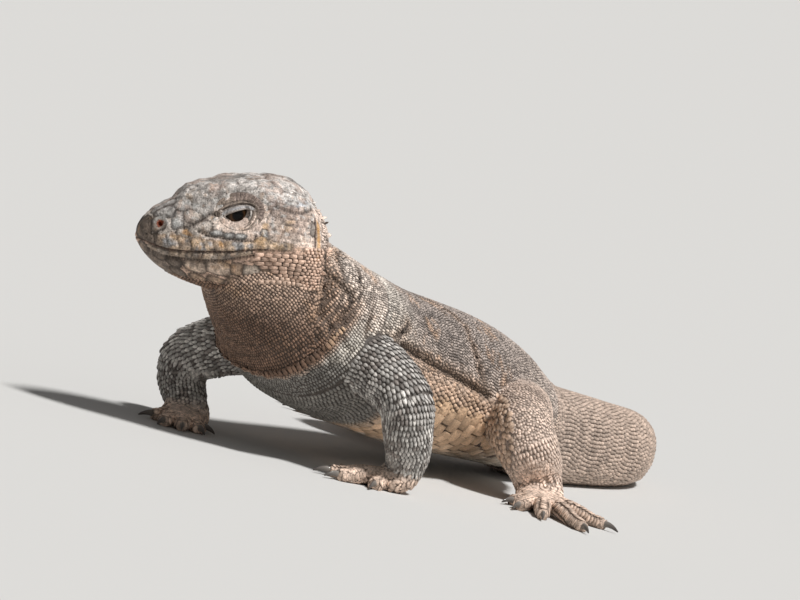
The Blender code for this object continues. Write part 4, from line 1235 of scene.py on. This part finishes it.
# Corners, squareness, crown and how far the tip narrows
shapeList = {
    "bead": (6, 2.0, 0.66, 0.0),
    "lapped": (8, 2.3, 0.70, 0.45),
    "plate": (8, 3.6, 0.84, 0.0),
    "tile": (12, 6.0, 0.90, 0.0),
    "flake": (7, 1.6, 0.80, 0.55),
    "collarPlate": (12, 5.0, 0.90, 0.10),
}
scaleShapes = {name: scaleShape(name, *values) for name, values in shapeList.items()}
patchSize = 0.003
# Painted shade and highlight on every scale, by height in the scale: dark at the foot and at the root end, lighter
# than its tone at the crown
rimShade = {"height": [-0.6, 0.0, 0.40, 0.5], "light": [0.20, 0.42, 1.08, 1.18], "root": 0.6}


def makeCoat(coat, laid=None):
    laid = laid or layScales(coat)
    mesh = bpy.data.meshes.new(coat["name"])
    mesh.from_pydata([tuple(p) for p in laid["spots"] * mm], [], [])
    writeValues(mesh, "out", laid["out"])
    writeValues(mesh, "heading", laid["heading"])
    writeValues(mesh, "size", laid["size"] * mm)
    writeValues(mesh, "unrolled", np.column_stack([laid["unrolled"], np.zeros(len(laid["spots"]))]))
    setTint(mesh, laid["tone"])
    obj = newObject(coat["name"], mesh)
    modifier = obj.modifiers.new("scales", "NODES")
    modifier.node_group = scaleTree
    settings = {"Scale": scaleShapes[coat["shape"]], "Length Share": 1.0, "Width Share": 1.0, "Size Spread": 0.06,
                "Seed": coat["seed"], "Finish": coatMaterial}
    for item in scaleTree.interface.items_tree:
        if item.name in settings:
            modifier[item.identifier] = settings[item.name]
    settled(obj)
    mesh = obj.data
    local = readValues(mesh, "local", 3)
    flat = readValues(mesh, "unrolled", 3)[:, :2] + local[:, :2] * patchSize
    # The tint gets painted shade at the foot and root end of each scale and a painted highlight on its crown
    light = np.interp(local[:, 2], rimShade["height"], rimShade["light"])
    light = light * np.interp(local[:, 0], [-0.5, 0.1], [rimShade["root"], 1.0])
    setTint(mesh, readValues(mesh, "tint", 4)[:, :3] * (1 + coat["shade"] * (light - 1))[:, None])
    corners = np.empty(len(mesh.loops), np.int32)
    mesh.loops.foreach_get("vertex_index", corners)
    layer = mesh.uv_layers.new(name="OFBake")
    layer.data.foreach_set("uv", flat[corners].astype(np.float32).ravel())
    for name in ("unrolled", "out", "heading", "size"):
        mesh.attributes.remove(mesh.attributes[name])
    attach(obj, "root")
    print(coat["name"], len(laid["spots"]), "scales,", sum(len(p.vertices) - 2 for p in mesh.polygons), "triangles")


def inRange(start, end):
    # Whether places lie between two lengths along the body
    return lambda spots: (spots[:, 0] - bodyOrigin[0] > start) & (spots[:, 0] - bodyOrigin[0] < end)


def jawOnly(spots):
    # Clear of the chin shields, and not under the chin
    behind, side, up = inHead(spots).T
    first, near, edge = nearestShields(inHead(spots), chinSeeds)
    return (near > 1.12) & ((up > -11.5) | (behind > 41.0))


def throatOnly(spots):
    behind, side, up = inHead(spots).T
    under = (up < -11.0) & (behind < 36.0)
    jowl = (behind >= 36.0) & (up < mouthHeight(behind) - 10.3)
    return (under | jowl) & (behind > 9.0) & (behind < 53.6)


def napeOnly(spots):
    # From the back of the head to the first rows of the neck
    behind, side, up = inHead(spots).T
    nape = ((behind > 54.0) | ((behind > 52.0) & ((up > 14.2) | (up < -0.5)))) & (behind < 64.0) & (up > -7.0)
    return nape | (behind > 54.0) & (behind < 56.0)


def legFront(spots, side):
    # The front of the knee and shank, which carries larger plates
    path = paths[f"leg_{side}"]
    front = unit(spots - path[nearestOn(path, spots)]) @ unit((0.85, -0.62 if side == "left" else 0.62, -0.05))
    return (front > 0.62 + 0.12 * grain(spots, 2.0, 44)) & (rise(spots[:, 2], 8.0, 4.0) > 0.5)


def legUpper(spots, side):
    # Above the rows of the shank, and off its front
    path = paths[f"leg_{side}"]
    return ~legFront(spots, side) & (lengthAlong(path)[nearestOn(path, spots)] < shankStart[side])


shankStart = {"left": 51.0, "right": 38.0}
chinSeeds = seedShields(skinBefore)
chinSeeds = chinSeeds[chinSeeds[:, 2] < -3.0]
scattered = [
    coatOf(name="napeScales", path="headAxis", nodes=("head", "neck"), only=napeOnly, shape="bead", apart=0.76,
           tries=8, size=(1.2, 1.06, 0.55), tilt=13, slot="head_skin", seed=19, vary=0.2, bright=1.1)
]
for side, sign in (("left", 1), ("right", -1)):
    scattered.append(coatOf(
        name=f"legScales_{side}", path=f"leg_{side}", nodes=(f"thigh_{side}", f"shank_{side}"), shape="bead",
        only=lambda spots, side=side: legUpper(spots, side), apart=0.76, tries=8, size=(1.28, 1.12, 0.45),
        tilt=13, slot="limb_skin", seed=27 + sign, vary=0.2, bright=1.04, shade=0.72))
for side, sign in (("left", 1), ("right", -1)):
    scattered.append(coatOf(
        name=f"legPlates_{side}", path=f"leg_{side}", nodes=(f"thigh_{side}", f"shank_{side}"), shape="plate",
        only=lambda spots, side=side: legFront(spots, side), apart=1.45, tries=10, size=(2.25, 1.95, 0.7),
        tilt=8, slot="limb_skin", seed=33 + sign, bright=1.1, shade=0.8, wash=("plates", 0.55)))
for coat in scattered:
    makeCoat(coat, layScattered(coat))

coats = [
    coatOf(name="neckScalesUpper", path="spine", span=(1.0, 50.0), step=0.84, wide=0.88, band=(0.0, 0.42),
           nodes=("neck",), only=lambda spots: ~napeOnly(spots), shape="bead", size=(0.98, 0.86, 0.62), tilt=15,
           seed=11, vary=0.3, bright=1.25, mottle=0.85),
    coatOf(name="neckScalesLower", path="spine", span=(1.0, 50.0), step=0.86, wide=0.90, band=(0.42, 1.0),
           nodes=("neck",), only=lambda spots: ~napeOnly(spots), shape="bead", size=(1.0, 0.88, 0.5), tilt=13,
           seed=10, vary=0.25, bright=1.1),
    coatOf(name="flankScales", path="spine", span=(40.0, 180.0), step=1.7, wide=1.7, band=(0.49, 0.60),
           nodes=("torso",), only=inRange(-99.0, 92.0), shape="lapped", size=(2.1, 1.66, 0.8), tilt=12, seed=14,
           bright=1.15),
    coatOf(name="bellyPlates", path="spine", span=(56.0, 180.0), step=4.5, wide=4.7, band=(0.59, 1.0),
           nodes=("torso",), only=inRange(-4.0, 88.0), shape="tile", size=(4.75, 4.8, 0.6), tilt=4, seed=15,
           sway=0.04, vary=0.05, bright=1.2),
    coatOf(name="chestScales", path="spine", span=(34.0, 110.0), step=1.25, wide=1.3, band=(0.48, 1.0),
           nodes=("torso",), only=inRange(87.0, 199.0), shape="lapped", size=(1.6, 1.3, 0.6), seed=20,
           sway=0.06, vary=0.1, bright=1.2),
    coatOf(name="tailScalesBase", path="spine", span=(174.0, 300.0), step=1.9, wide=1.3, nodes=("tail",),
           shape="plate", size=(2.15, 1.24, 0.8), tilt=11, slot="tail_skin", seed=16, sway=0.04, vary=0.06,
           bright=0.95, shade=0.8),
    coatOf(name="tailScalesEnd", path="spine", span=(298.0, 513.0), step=1.7, wide=1.1, nodes=("tail",),
           shape="plate", size=(1.95, 1.04, 0.6), tilt=9, slot="tail_skin", seed=17, sway=0.04, vary=0.06,
           bright=0.95, shade=0.8),
    coatOf(name="throatScales", path="headAxis", span=(0.0, 50.0), step=0.95, wide=1.0, band=(0.3, 1.0),
           nodes=("head",), only=throatOnly, shape="bead", size=(1.08, 0.98, 0.5), tilt=12, slot="head_skin",
           seed=18, vary=0.2, bright=1.2),
]
for side, offset in (("left", 0), ("right", 1)):
    coats += [
        coatOf(name=f"backScales_{side}", path="spine", span=(36.0, 180.0), step=0.90, wide=0.92, band=(0.0, 0.53),
               nodes=("torso", "tail_1"), shape="bead", size=(1.04, 0.90, 0.55), tilt=14, seed=12 + offset,
               sides=(1 - 2 * offset,), sway=0.25, vary=0.25, bright=1.15, mottle=1.0),
        coatOf(name=f"upperArmScales_{side}", path=f"arm_{side}", span=(4.0, 60.0), step=1.55, wide=1.45,
               nodes=("upper_arm",), shape="lapped", size=(2.3, 1.52, 0.72), tilt=15, slot="limb_skin",
               seed=21 + offset, bright=1.15, mottle=0.8),
        coatOf(name=f"forearmScales_{side}", path=f"arm_{side}", span=(20.0, 70.0), step=1.2, wide=1.2,
               nodes=("forearm",), shape="lapped", size=(1.8, 1.26, 0.66), tilt=14, slot="limb_skin",
               seed=25 + offset, bright=1.15, mottle=0.8),
    ]
for side in ("left", "right"):
    coats.append(coatOf(
        name=f"shankScales_{side}", path=f"leg_{side}", span=(shankStart[side], 72.0), step=1.05, wide=1.2,
        nodes=("thigh", "shank"), only=lambda spots, side=side: ~legFront(spots, side), shape="lapped",
        size=(1.5, 1.24, 0.6), tilt=12, slot="limb_skin", seed=34, bright=1.1, shade=0.8))
for coat in coats:
    makeCoat(coat)

# Rows of the jaw: distance under the mouth, start and end behind the snout
jawRows = [(1.45, 33.6, 48.0), (2.75, 31.0, 48.0), (4.05, 31.0, 48.0), (5.3, 31.0, 48.0), (6.5, 31.0, 48.0)]
lowerRows = [(7.6, 36.0, 48.0), (8.7, 36.0, 48.0), (9.8, 36.0, 48.0)]
angleRows = [(-1.2 + 0.92 * k, 48.0, 53.8) for k in range(14)]
jawTiles = coatOf(name="jawTiles", shape="tile", slot="head_skin", seed=61, tilt=3, size=(0.98, 1.26, 0.9),
                  only=jawOnly)
angleTiles = coatOf(seed=62, tilt=6, size=(0.92, 0.86, 0.8), bright=1.1,
                    only=lambda spots: inHead(spots)[:, 2] > -12.0)
makeCoat(jawTiles, together([
    laySideRows(jawTiles, jawRows, lambda behind: np.interp(behind, [33.0, 42.0, 48.0], [3.0, 2.4, 1.6])),
    laySideRows(jawTiles, lowerRows, lambda behind: np.interp(behind, [36.0, 48.0], [2.0, 1.3])),
    laySideRows(angleTiles, angleRows, lambda behind: np.interp(behind, [48.0, 54.0], [1.5, 1.1])),
], 2))

for limb, (kind, side) in limbEnds.items():
    pieces = [layScales(coatOf(path=limb, span=(48.0, 90.0), step=1.2, wide=1.25, nodes=(f"{kind}_{side}",),
                               size=(1.55, 1.25, 0.6), seed=31, bright=1.12))]
    for digit in range(1, 6):
        pieces.append(layScales(coatOf(
            path=f"{kind}_{side}_{digit}", span=(4.5, 60.0), step=1.15, wide=2.6, nodes=(f"{kind}_{side}",),
            stagger=0.0, size=(1.42, 2.8, 0.7), tilt=12, seed=40 + digit, bright=1.15, sway=0.02, vary=0.06)))
    makeCoat(coatOf(name=f"{kind}Scales_{side}", shape="lapped", seed=50, slot="limb_skin"), together(pieces, 3))

# Collar: a row of long plates side by side across the throat
collarPlates = coatOf(name="collarPlates", shape="collarPlate", seed=71, tilt=4, count=54, arc=(188.0, 352.0),
                      size=(3.0, 1.4, 0.32))


def layCollar(coat):
    chosen = random.Random(coat["seed"])
    along = unit(collar["along"])
    right = unit((-along[1], along[0], 0.0))
    upward = np.cross(along, right)
    found = []
    for k, angle in enumerate(np.radians(np.linspace(*coat["arc"], coat["count"]))):
        x, z = math.cos(angle), math.sin(angle)
        middle = np.array(collar["row"]) + along * (collar["behind"] - collar["skew"] * x) + bodyOrigin
        met = meetSkin(middle, right * x + upward * z)
        if met:
            share = min(1.0, 0.7 + 0.06 * min(k, coat["count"] - 1 - k)) * (0.8 + 0.2 * x ** 2)
            found.append((*(met[0] - along * 1.2), *met[1], share, k, chosen.random()))
    found = np.array(found)
    spots = found[:, :3]
    unrolled = np.stack([0.1 + 0.8 * found[:, 7] / coat["count"], np.full(len(found), 0.5)], axis=1)
    roots = rooted(coat, spots, found[:, 3:6], np.tile(along, (len(found), 1)), coat["size"] * found[:, 6:7],
                   found[:, 8], ownersOf(spots), unrolled)
    # Pale orange collar tone high up; the lower plates keep the darker throat and chest tones, with their painted
    # shade
    roots["tone"] = blend(roots["tone"], tones["collar"], 0.9 * softStep((spots[:, 2] - 37.0) / 6.0))
    return roots


makeCoat(collarPlates, layCollar(collarPlates))

# Flakes of skin that is being shed, standing up on the nape and the side of the neck
flakes = coatOf(name="shedFlakes", shape="flake", slot="head_skin", seed=81, tilt=0, bright=1.15,
                lean=(45.0, 85.0), long=(1.7, 3.2), size=(1.0, 1.7, 0.25))
# Behind, side, up, and length share
flakeSpots = [(50.8, 7.4, 30.0, 0.8), (51.8, 9.4, 30.0, 0.7),
              (54.0, 40.0, 12.0, 0.9), (55.2, 40.0, 10.6, 1.0), (54.8, 40.0, 8.6, 0.8), (56.6, 40.0, 7.4, 0.8),
              (55.6, 40.0, 5.0, 0.7), (57.6, 40.0, 3.0, 0.8), (56.4, 40.0, 0.4, 0.7), (55.0, 40.0, -3.4, 0.7),
              (57.0, 40.0, -7.0, 0.8), (55.4, 40.0, -10.4, 0.6), (56.0, -40.0, 6.0, 0.8)]


def layFlakes(coat):
    chosen = random.Random(coat["seed"])
    found = []
    for behind, side, up, share in flakeSpots:
        met = meetSkin(headPoint(behind, side, up), -headUp if up > 20 else -headLeft * (1 if side > 0 else -1))
        if met:
            lean = math.radians(chosen.uniform(*coat["lean"]))
            found.append((*met[0], *met[1], share * chosen.uniform(*coat["long"]), lean, chosen.random()))
    found = np.array(found)
    spots, out = found[:, :3], unit(found[:, 3:6])
    heading = unit(-headForward + 0.25 * headUp)
    heading = unit(heading - out * (out @ heading)[:, None])
    size = np.tile(coat["size"], (len(found), 1))
    size[:, 0] *= found[:, 6]
    unrolled = np.stack([0.1 + 0.8 * np.arange(len(found)) / len(found), np.full(len(found), 0.5)], axis=1)
    roots = rooted(coat, spots, out, heading, size, found[:, 8], ownersOf(spots), unrolled)
    lean = found[:, 7:8]
    roots["heading"] = unit(heading * np.cos(lean) + out * np.sin(lean))
    roots["out"] = unit(out * np.cos(lean) - heading * np.sin(lean))
    roots["spots"] = spots + roots["heading"] * (found[:, 6:7] * 0.35)
    return roots


makeCoat(flakes, layFlakes(flakes))
for shape in scaleShapes.values():
    bpy.data.objects.remove(shape)


# Lids: a fold of skin round each eye, from the edge of the opening out to the rim of the orbit
lids = {
    "front": (24.2, 9.1),          # corners of the opening, behind and up
    "rear": (31.0, 12.0),
    "upper": 0.75,                 # how far the upper edge rises over the line between the corners
    "lower": 2.85,                 # how far the lower edge hangs below it
    "clear": 0.34,                 # over the eyeball
    "columns": 144,
    "rows": 24,
    "thick": 0.45,
    "browScales": 34,
}


def makeLid(side):
    turn = np.arange(lids["columns"]) * 2 * math.pi / lids["columns"]
    front, rear = np.array(lids["front"]), np.array(lids["rear"])
    along = unit(rear - front)
    across = np.array([-along[1], along[0]])
    middle = (front + rear) / 2
    high = np.where(np.sin(turn) > 0, lids["upper"], lids["lower"]) * np.abs(np.sin(turn)) ** 1.15
    inner = middle + np.outer(np.cos(turn) * np.linalg.norm(rear - front) / 2, along)
    inner = inner + np.outer(high * np.sign(np.sin(turn)), across)
    tilt = math.radians(orbit["tilt"])
    x, y = orbit["long"] * np.cos(turn), orbit["tall"] * np.sin(turn)
    outer = np.stack([orbit["behind"] + x * math.cos(tilt) - y * math.sin(tilt),
                      orbit["up"] + y * math.cos(tilt) + x * math.sin(tilt)], axis=1)
    eyeBehind, eyeSide, eyeUp = head["eye"]
    upper = np.clip(np.sin(turn) * 4 + 0.5, 0, 1)
    lower = 1 - upper
    notch = np.abs(np.sin(turn * lids["browScales"] / 2))
    points, colours = [], []
    for row in range(lids["rows"]):
        t = row / (lids["rows"] - 1)
        flat = inner * (1 - t) + outer * t
        far = t * np.linalg.norm(outer - inner, axis=1)
        away = np.hypot(flat[:, 0] - eyeBehind, flat[:, 1] - eyeUp)
        ball = eyeSide + np.sqrt(np.maximum((eyeRadius + lids["clear"]) ** 2 - away ** 2, 0.5))
        dome = eyeSide + np.sqrt(np.maximum((eyeRadius + 0.9) ** 2 - away ** 2, 0.5))
        seen = []
        for k, (behind, up) in enumerate(flat):
            start = Vector(headPoint(behind, side * 40.0, up) * mm)
            hit = skinBefore.ray_cast(start, Vector(-headLeft * side))[0]
            depth = 0.0 if hit is None else abs(inHead(np.array(hit) / mm)[1])
            seen.append(depth if depth > ball[k] else dome[k])
        share = softStep((away - 2.9) / 1.5)
        depth = ball * (1 - share) + (np.array(seen) + 0.10) * share
        fold = 0.26 * bump(far, 0.30, 0.30) + upper * (0.32 * bump(far, 1.0, 0.6) - 0.34 * bump(far, 1.95, 0.28))
        fold += upper * (0.16 * bump(far, 2.5, 0.3) - 0.18 * bump(far, 3.0, 0.25))
        fold -= lower * (0.24 * bump(far, 0.85, 0.2) + 0.20 * bump(far, 1.75, 0.2) + 0.16 * bump(far, 2.7, 0.2))
        band = softStep((t - 0.50) / 0.08) * softStep((0.97 - t) / 0.06)
        brow = band * (softStep((turn + 0.5) / 0.3) * softStep((2.0 - turn) / 0.3) + (turn > 5.75))
        fold += brow * (0.22 * np.sqrt(notch) + 0.05)
        fold -= 0.30 * bump(t, 0.97, 0.035) + 0.55 * softStep((t - 0.97) / 0.03)
        depth = depth + fold
        place = np.array([headPoint(b, side * d, u) for (b, u), d in zip(flat, depth)])
        speck = grain(place, 0.7, 51)
        tone = np.tile(tones["lid"], (len(turn), 1)) * (0.75 + 0.5 * speck)[:, None]
        # Painted shade at the edge of the opening, in the lid's folds, between the brow scales and along the orbit's
        # rim
        tone = blend(tone, tones["between"], bump(far, 0.0, 0.16) * 0.9)
        tone = blend(tone, tones["lidRim"], bump(far, 0.36, 0.22) * (0.25 + 0.75 * lower))
        tone = blend(tone, tones["bluish"], upper * bump(far, 1.05, 0.55) * 0.7)
        dark = upper * (bump(far, 1.95, 0.3) + 0.6 * bump(far, 3.0, 0.25))
        dark += lower * (0.9 * bump(far, 0.85, 0.2) + 0.8 * bump(far, 1.75, 0.18) + 0.7 * bump(far, 2.7, 0.18))
        tone = blend(tone, tones["brow"], brow * 0.9)
        dark = dark * (1 - brow) + brow * (1 - np.clip(notch * 2.2, 0, 1)) * 0.75 + bump(t, 0.98, 0.05) * 0.9
        tone = blend(tone, tones["between"], dark)
        points.append(place)
        colours.append(tone)
    count = lids["columns"]
    faces = []
    for row in range(lids["rows"] - 1):
        for k in range(count):
            m = (k + 1) % count
            quad = (row * count + k, row * count + m, (row + 1) * count + m, (row + 1) * count + k)
            faces.append(quad if side > 0 else quad[::-1])
    mesh = bpy.data.meshes.new("lid")
    mesh.from_pydata([tuple(p) for p in np.concatenate(points) * mm], [], faces)
    mesh.update()
    if np.dot(np.mean([p.normal for p in mesh.polygons], axis=0), headLeft) * side < 0:
        mesh.flip_normals()
    setTint(mesh, np.concatenate(colours))
    mesh.materials.append(skinMaterial)
    lid = newObject("lid_left" if side > 0 else "lid_right", mesh)
    wall = lid.modifiers.new("wall", "SOLIDIFY")
    wall.thickness = lids["thick"] * mm
    wall.offset = -1.0
    settled(lid)
    lid.data.shade_smooth()
    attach(lid, "root")


makeLid(1)
makeLid(-1)
print("lids made")

# Eyes: dark and glossy, with a narrow brown iris
eyes = {
    "columns": 48,
    "rings": 32,
    "pupil": 1.75,
    "iris": 2.6,
    "facing": (-0.15, 0.985, -0.06),       # forward, outward and up
    "white": (0.018, 0.012, 0.009),        # nearly black in this animal
    "brown": (0.085, 0.042, 0.018),
    "black": (0.003, 0.003, 0.003),
}


def glossyMaterial(name, roughness, coat):
    material, tree = newMaterial(name)
    setShader(tree, {"Base Color": tintOf(tree), "Roughness": roughness, "Specular IOR Level": 0.12,
                     "Coat Weight": coat, "Coat Roughness": 0.03})
    return material


def makeEye(name, side):
    ball = bmesh.new()
    bmesh.ops.create_uvsphere(ball, u_segments=eyes["columns"], v_segments=eyes["rings"], radius=eyeRadius - 0.02)
    mesh = bpy.data.meshes.new(name)
    ball.to_mesh(mesh)
    ball.free()
    forward, left, up = eyes["facing"]
    out = unit(headForward * forward + headLeft * left * side + headUp * up)
    turn = Vector((0, 0, 1)).rotation_difference(Vector(out)).to_matrix()
    local = np.array([v.co for v in mesh.vertices])
    middle = headPoint(head["eye"][0], head["eye"][1] * side, head["eye"][2])
    setCoordinates(mesh, local @ np.array(turn).T + middle)
    away = np.hypot(local[:, 0], local[:, 1]) + 9.0 * (local[:, 2] < 0)
    iris = bump(away, (eyes["pupil"] + eyes["iris"]) / 2, 0.45)
    tone = blend(np.tile(eyes["white"], (len(local), 1)), eyes["brown"], iris)
    setTint(mesh, blend(tone, eyes["black"], softStep((eyes["pupil"] - away) / 0.15 + 0.5)))
    mesh.materials.append(eyeMaterial)
    mesh.shade_smooth()
    eye = newObject("eyeball_" + name, mesh)
    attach(eye, "root")
    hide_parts(f"eye_{name}")


eyeMaterial = glossyMaterial("wetEye", 0.05, 0.0)
makeEye("left", 1)
makeEye("right", -1)

# Claws: the solids rounded off, grey at the root and dark at the tip, and set back into the toes
claws = {"root": (0.30, 0.27, 0.24), "tip": (0.075, 0.065, 0.06), "setBack": 1.1, "rounding": 2}


def makeClaws():
    joined = bmesh.new()
    shares = []
    for name in clawNames:
        kind, side = name.split("_")[1:3]
        palm = np.array(limbs[("arm_" if kind == "hand" else "leg_") + side][-1]) + bodyOrigin
        piece = bmesh.new()
        piece.from_mesh(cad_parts[name].data)
        bmesh.ops.remove_doubles(piece, verts=piece.verts, dist=0.01 * mm)
        mesh = bpy.data.meshes.new("claw")
        piece.to_mesh(mesh)
        piece.free()
        claw = newObject("claw", mesh)
        rounding = claw.modifiers.new("rounding", "SUBSURF")
        rounding.levels = rounding.render_levels = claws["rounding"]
        settled(claw)
        points = coordinates(claw.data)
        way = unit((points.mean(axis=0) - palm) * (1, 1, 0))
        reach = (points - palm) @ way
        share = (reach - reach.min()) / (reach.max() - reach.min())
        points = points - way * (claws["setBack"] * (1 - share))[:, None]
        setCoordinates(claw.data, points)
        joined.from_mesh(claw.data)
        shares.append(share)
        bpy.data.objects.remove(claw)
    mesh = bpy.data.meshes.new("claws")
    joined.to_mesh(mesh)
    joined.free()
    share = np.concatenate(shares)
    setTint(mesh, blend(np.tile(claws["root"], (len(share), 1)), claws["tip"], share ** 0.8))
    mesh.materials.append(glossyMaterial("claw", 0.35, 0.25))
    mesh.shade_smooth()
    obj = newObject("claws", mesh)
    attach(obj, "root")
    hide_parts(*clawNames)


makeClaws()
print("eyes and claws made")

# Stage: a pale floor, light from the front left, and a bright surround
studio = {
    "floorSize": 60.0,             # metres
    "floorTone": (0.62, 0.61, 0.59),
    "surround": 0.15,
    "keyPower": 3.6,
    "keyFrom": (0.05, 0.60, 1.15),
    "keySpread": 9.0,              # degrees across, larger is softer
    "fillPower": 0.22,
    "fillFrom": (0.2, 0.9, 0.5),
    "fillSpread": 60.0,
}


def makeSun(name, power, comesFrom, spread):
    data = bpy.data.lights.new(name, "SUN")
    data.energy = power
    data.angle = math.radians(spread)
    lamp = newObject(name, data)
    lamp.rotation_euler = Vector(comesFrom).to_track_quat("Z", "Y").to_euler()
    return lamp


def makeStudio():
    half = studio["floorSize"] / 2
    mesh = bpy.data.meshes.new("floor")
    corners = [(-half, -half, 0), (half, -half, 0), (half, half, 0), (-half, half, 0)]
    mesh.from_pydata(corners, [], [(0, 1, 2, 3)])
    floor = newObject("floor", mesh)
    material, tree = newMaterial("paleFloor")
    setShader(tree, {"Base Color": (*studio["floorTone"], 1.0), "Roughness": 0.9})
    mesh.materials.append(material)
    world = bpy.data.worlds.new("surround")
    bpy.context.scene.world = world
    world.use_nodes = True
    background = world.node_tree.nodes["Background"]
    background.inputs["Color"].default_value = (1.0, 1.0, 1.0, 1.0)
    background.inputs["Strength"].default_value = studio["surround"]
    key = makeSun("keyLight", studio["keyPower"], studio["keyFrom"], studio["keySpread"])
    fill = makeSun("fillLight", studio["fillPower"], studio["fillFrom"], studio["fillSpread"])
    bpy.context.scene.view_settings.view_transform = "Standard"   # keeps the skin's colours full


makeStudio()
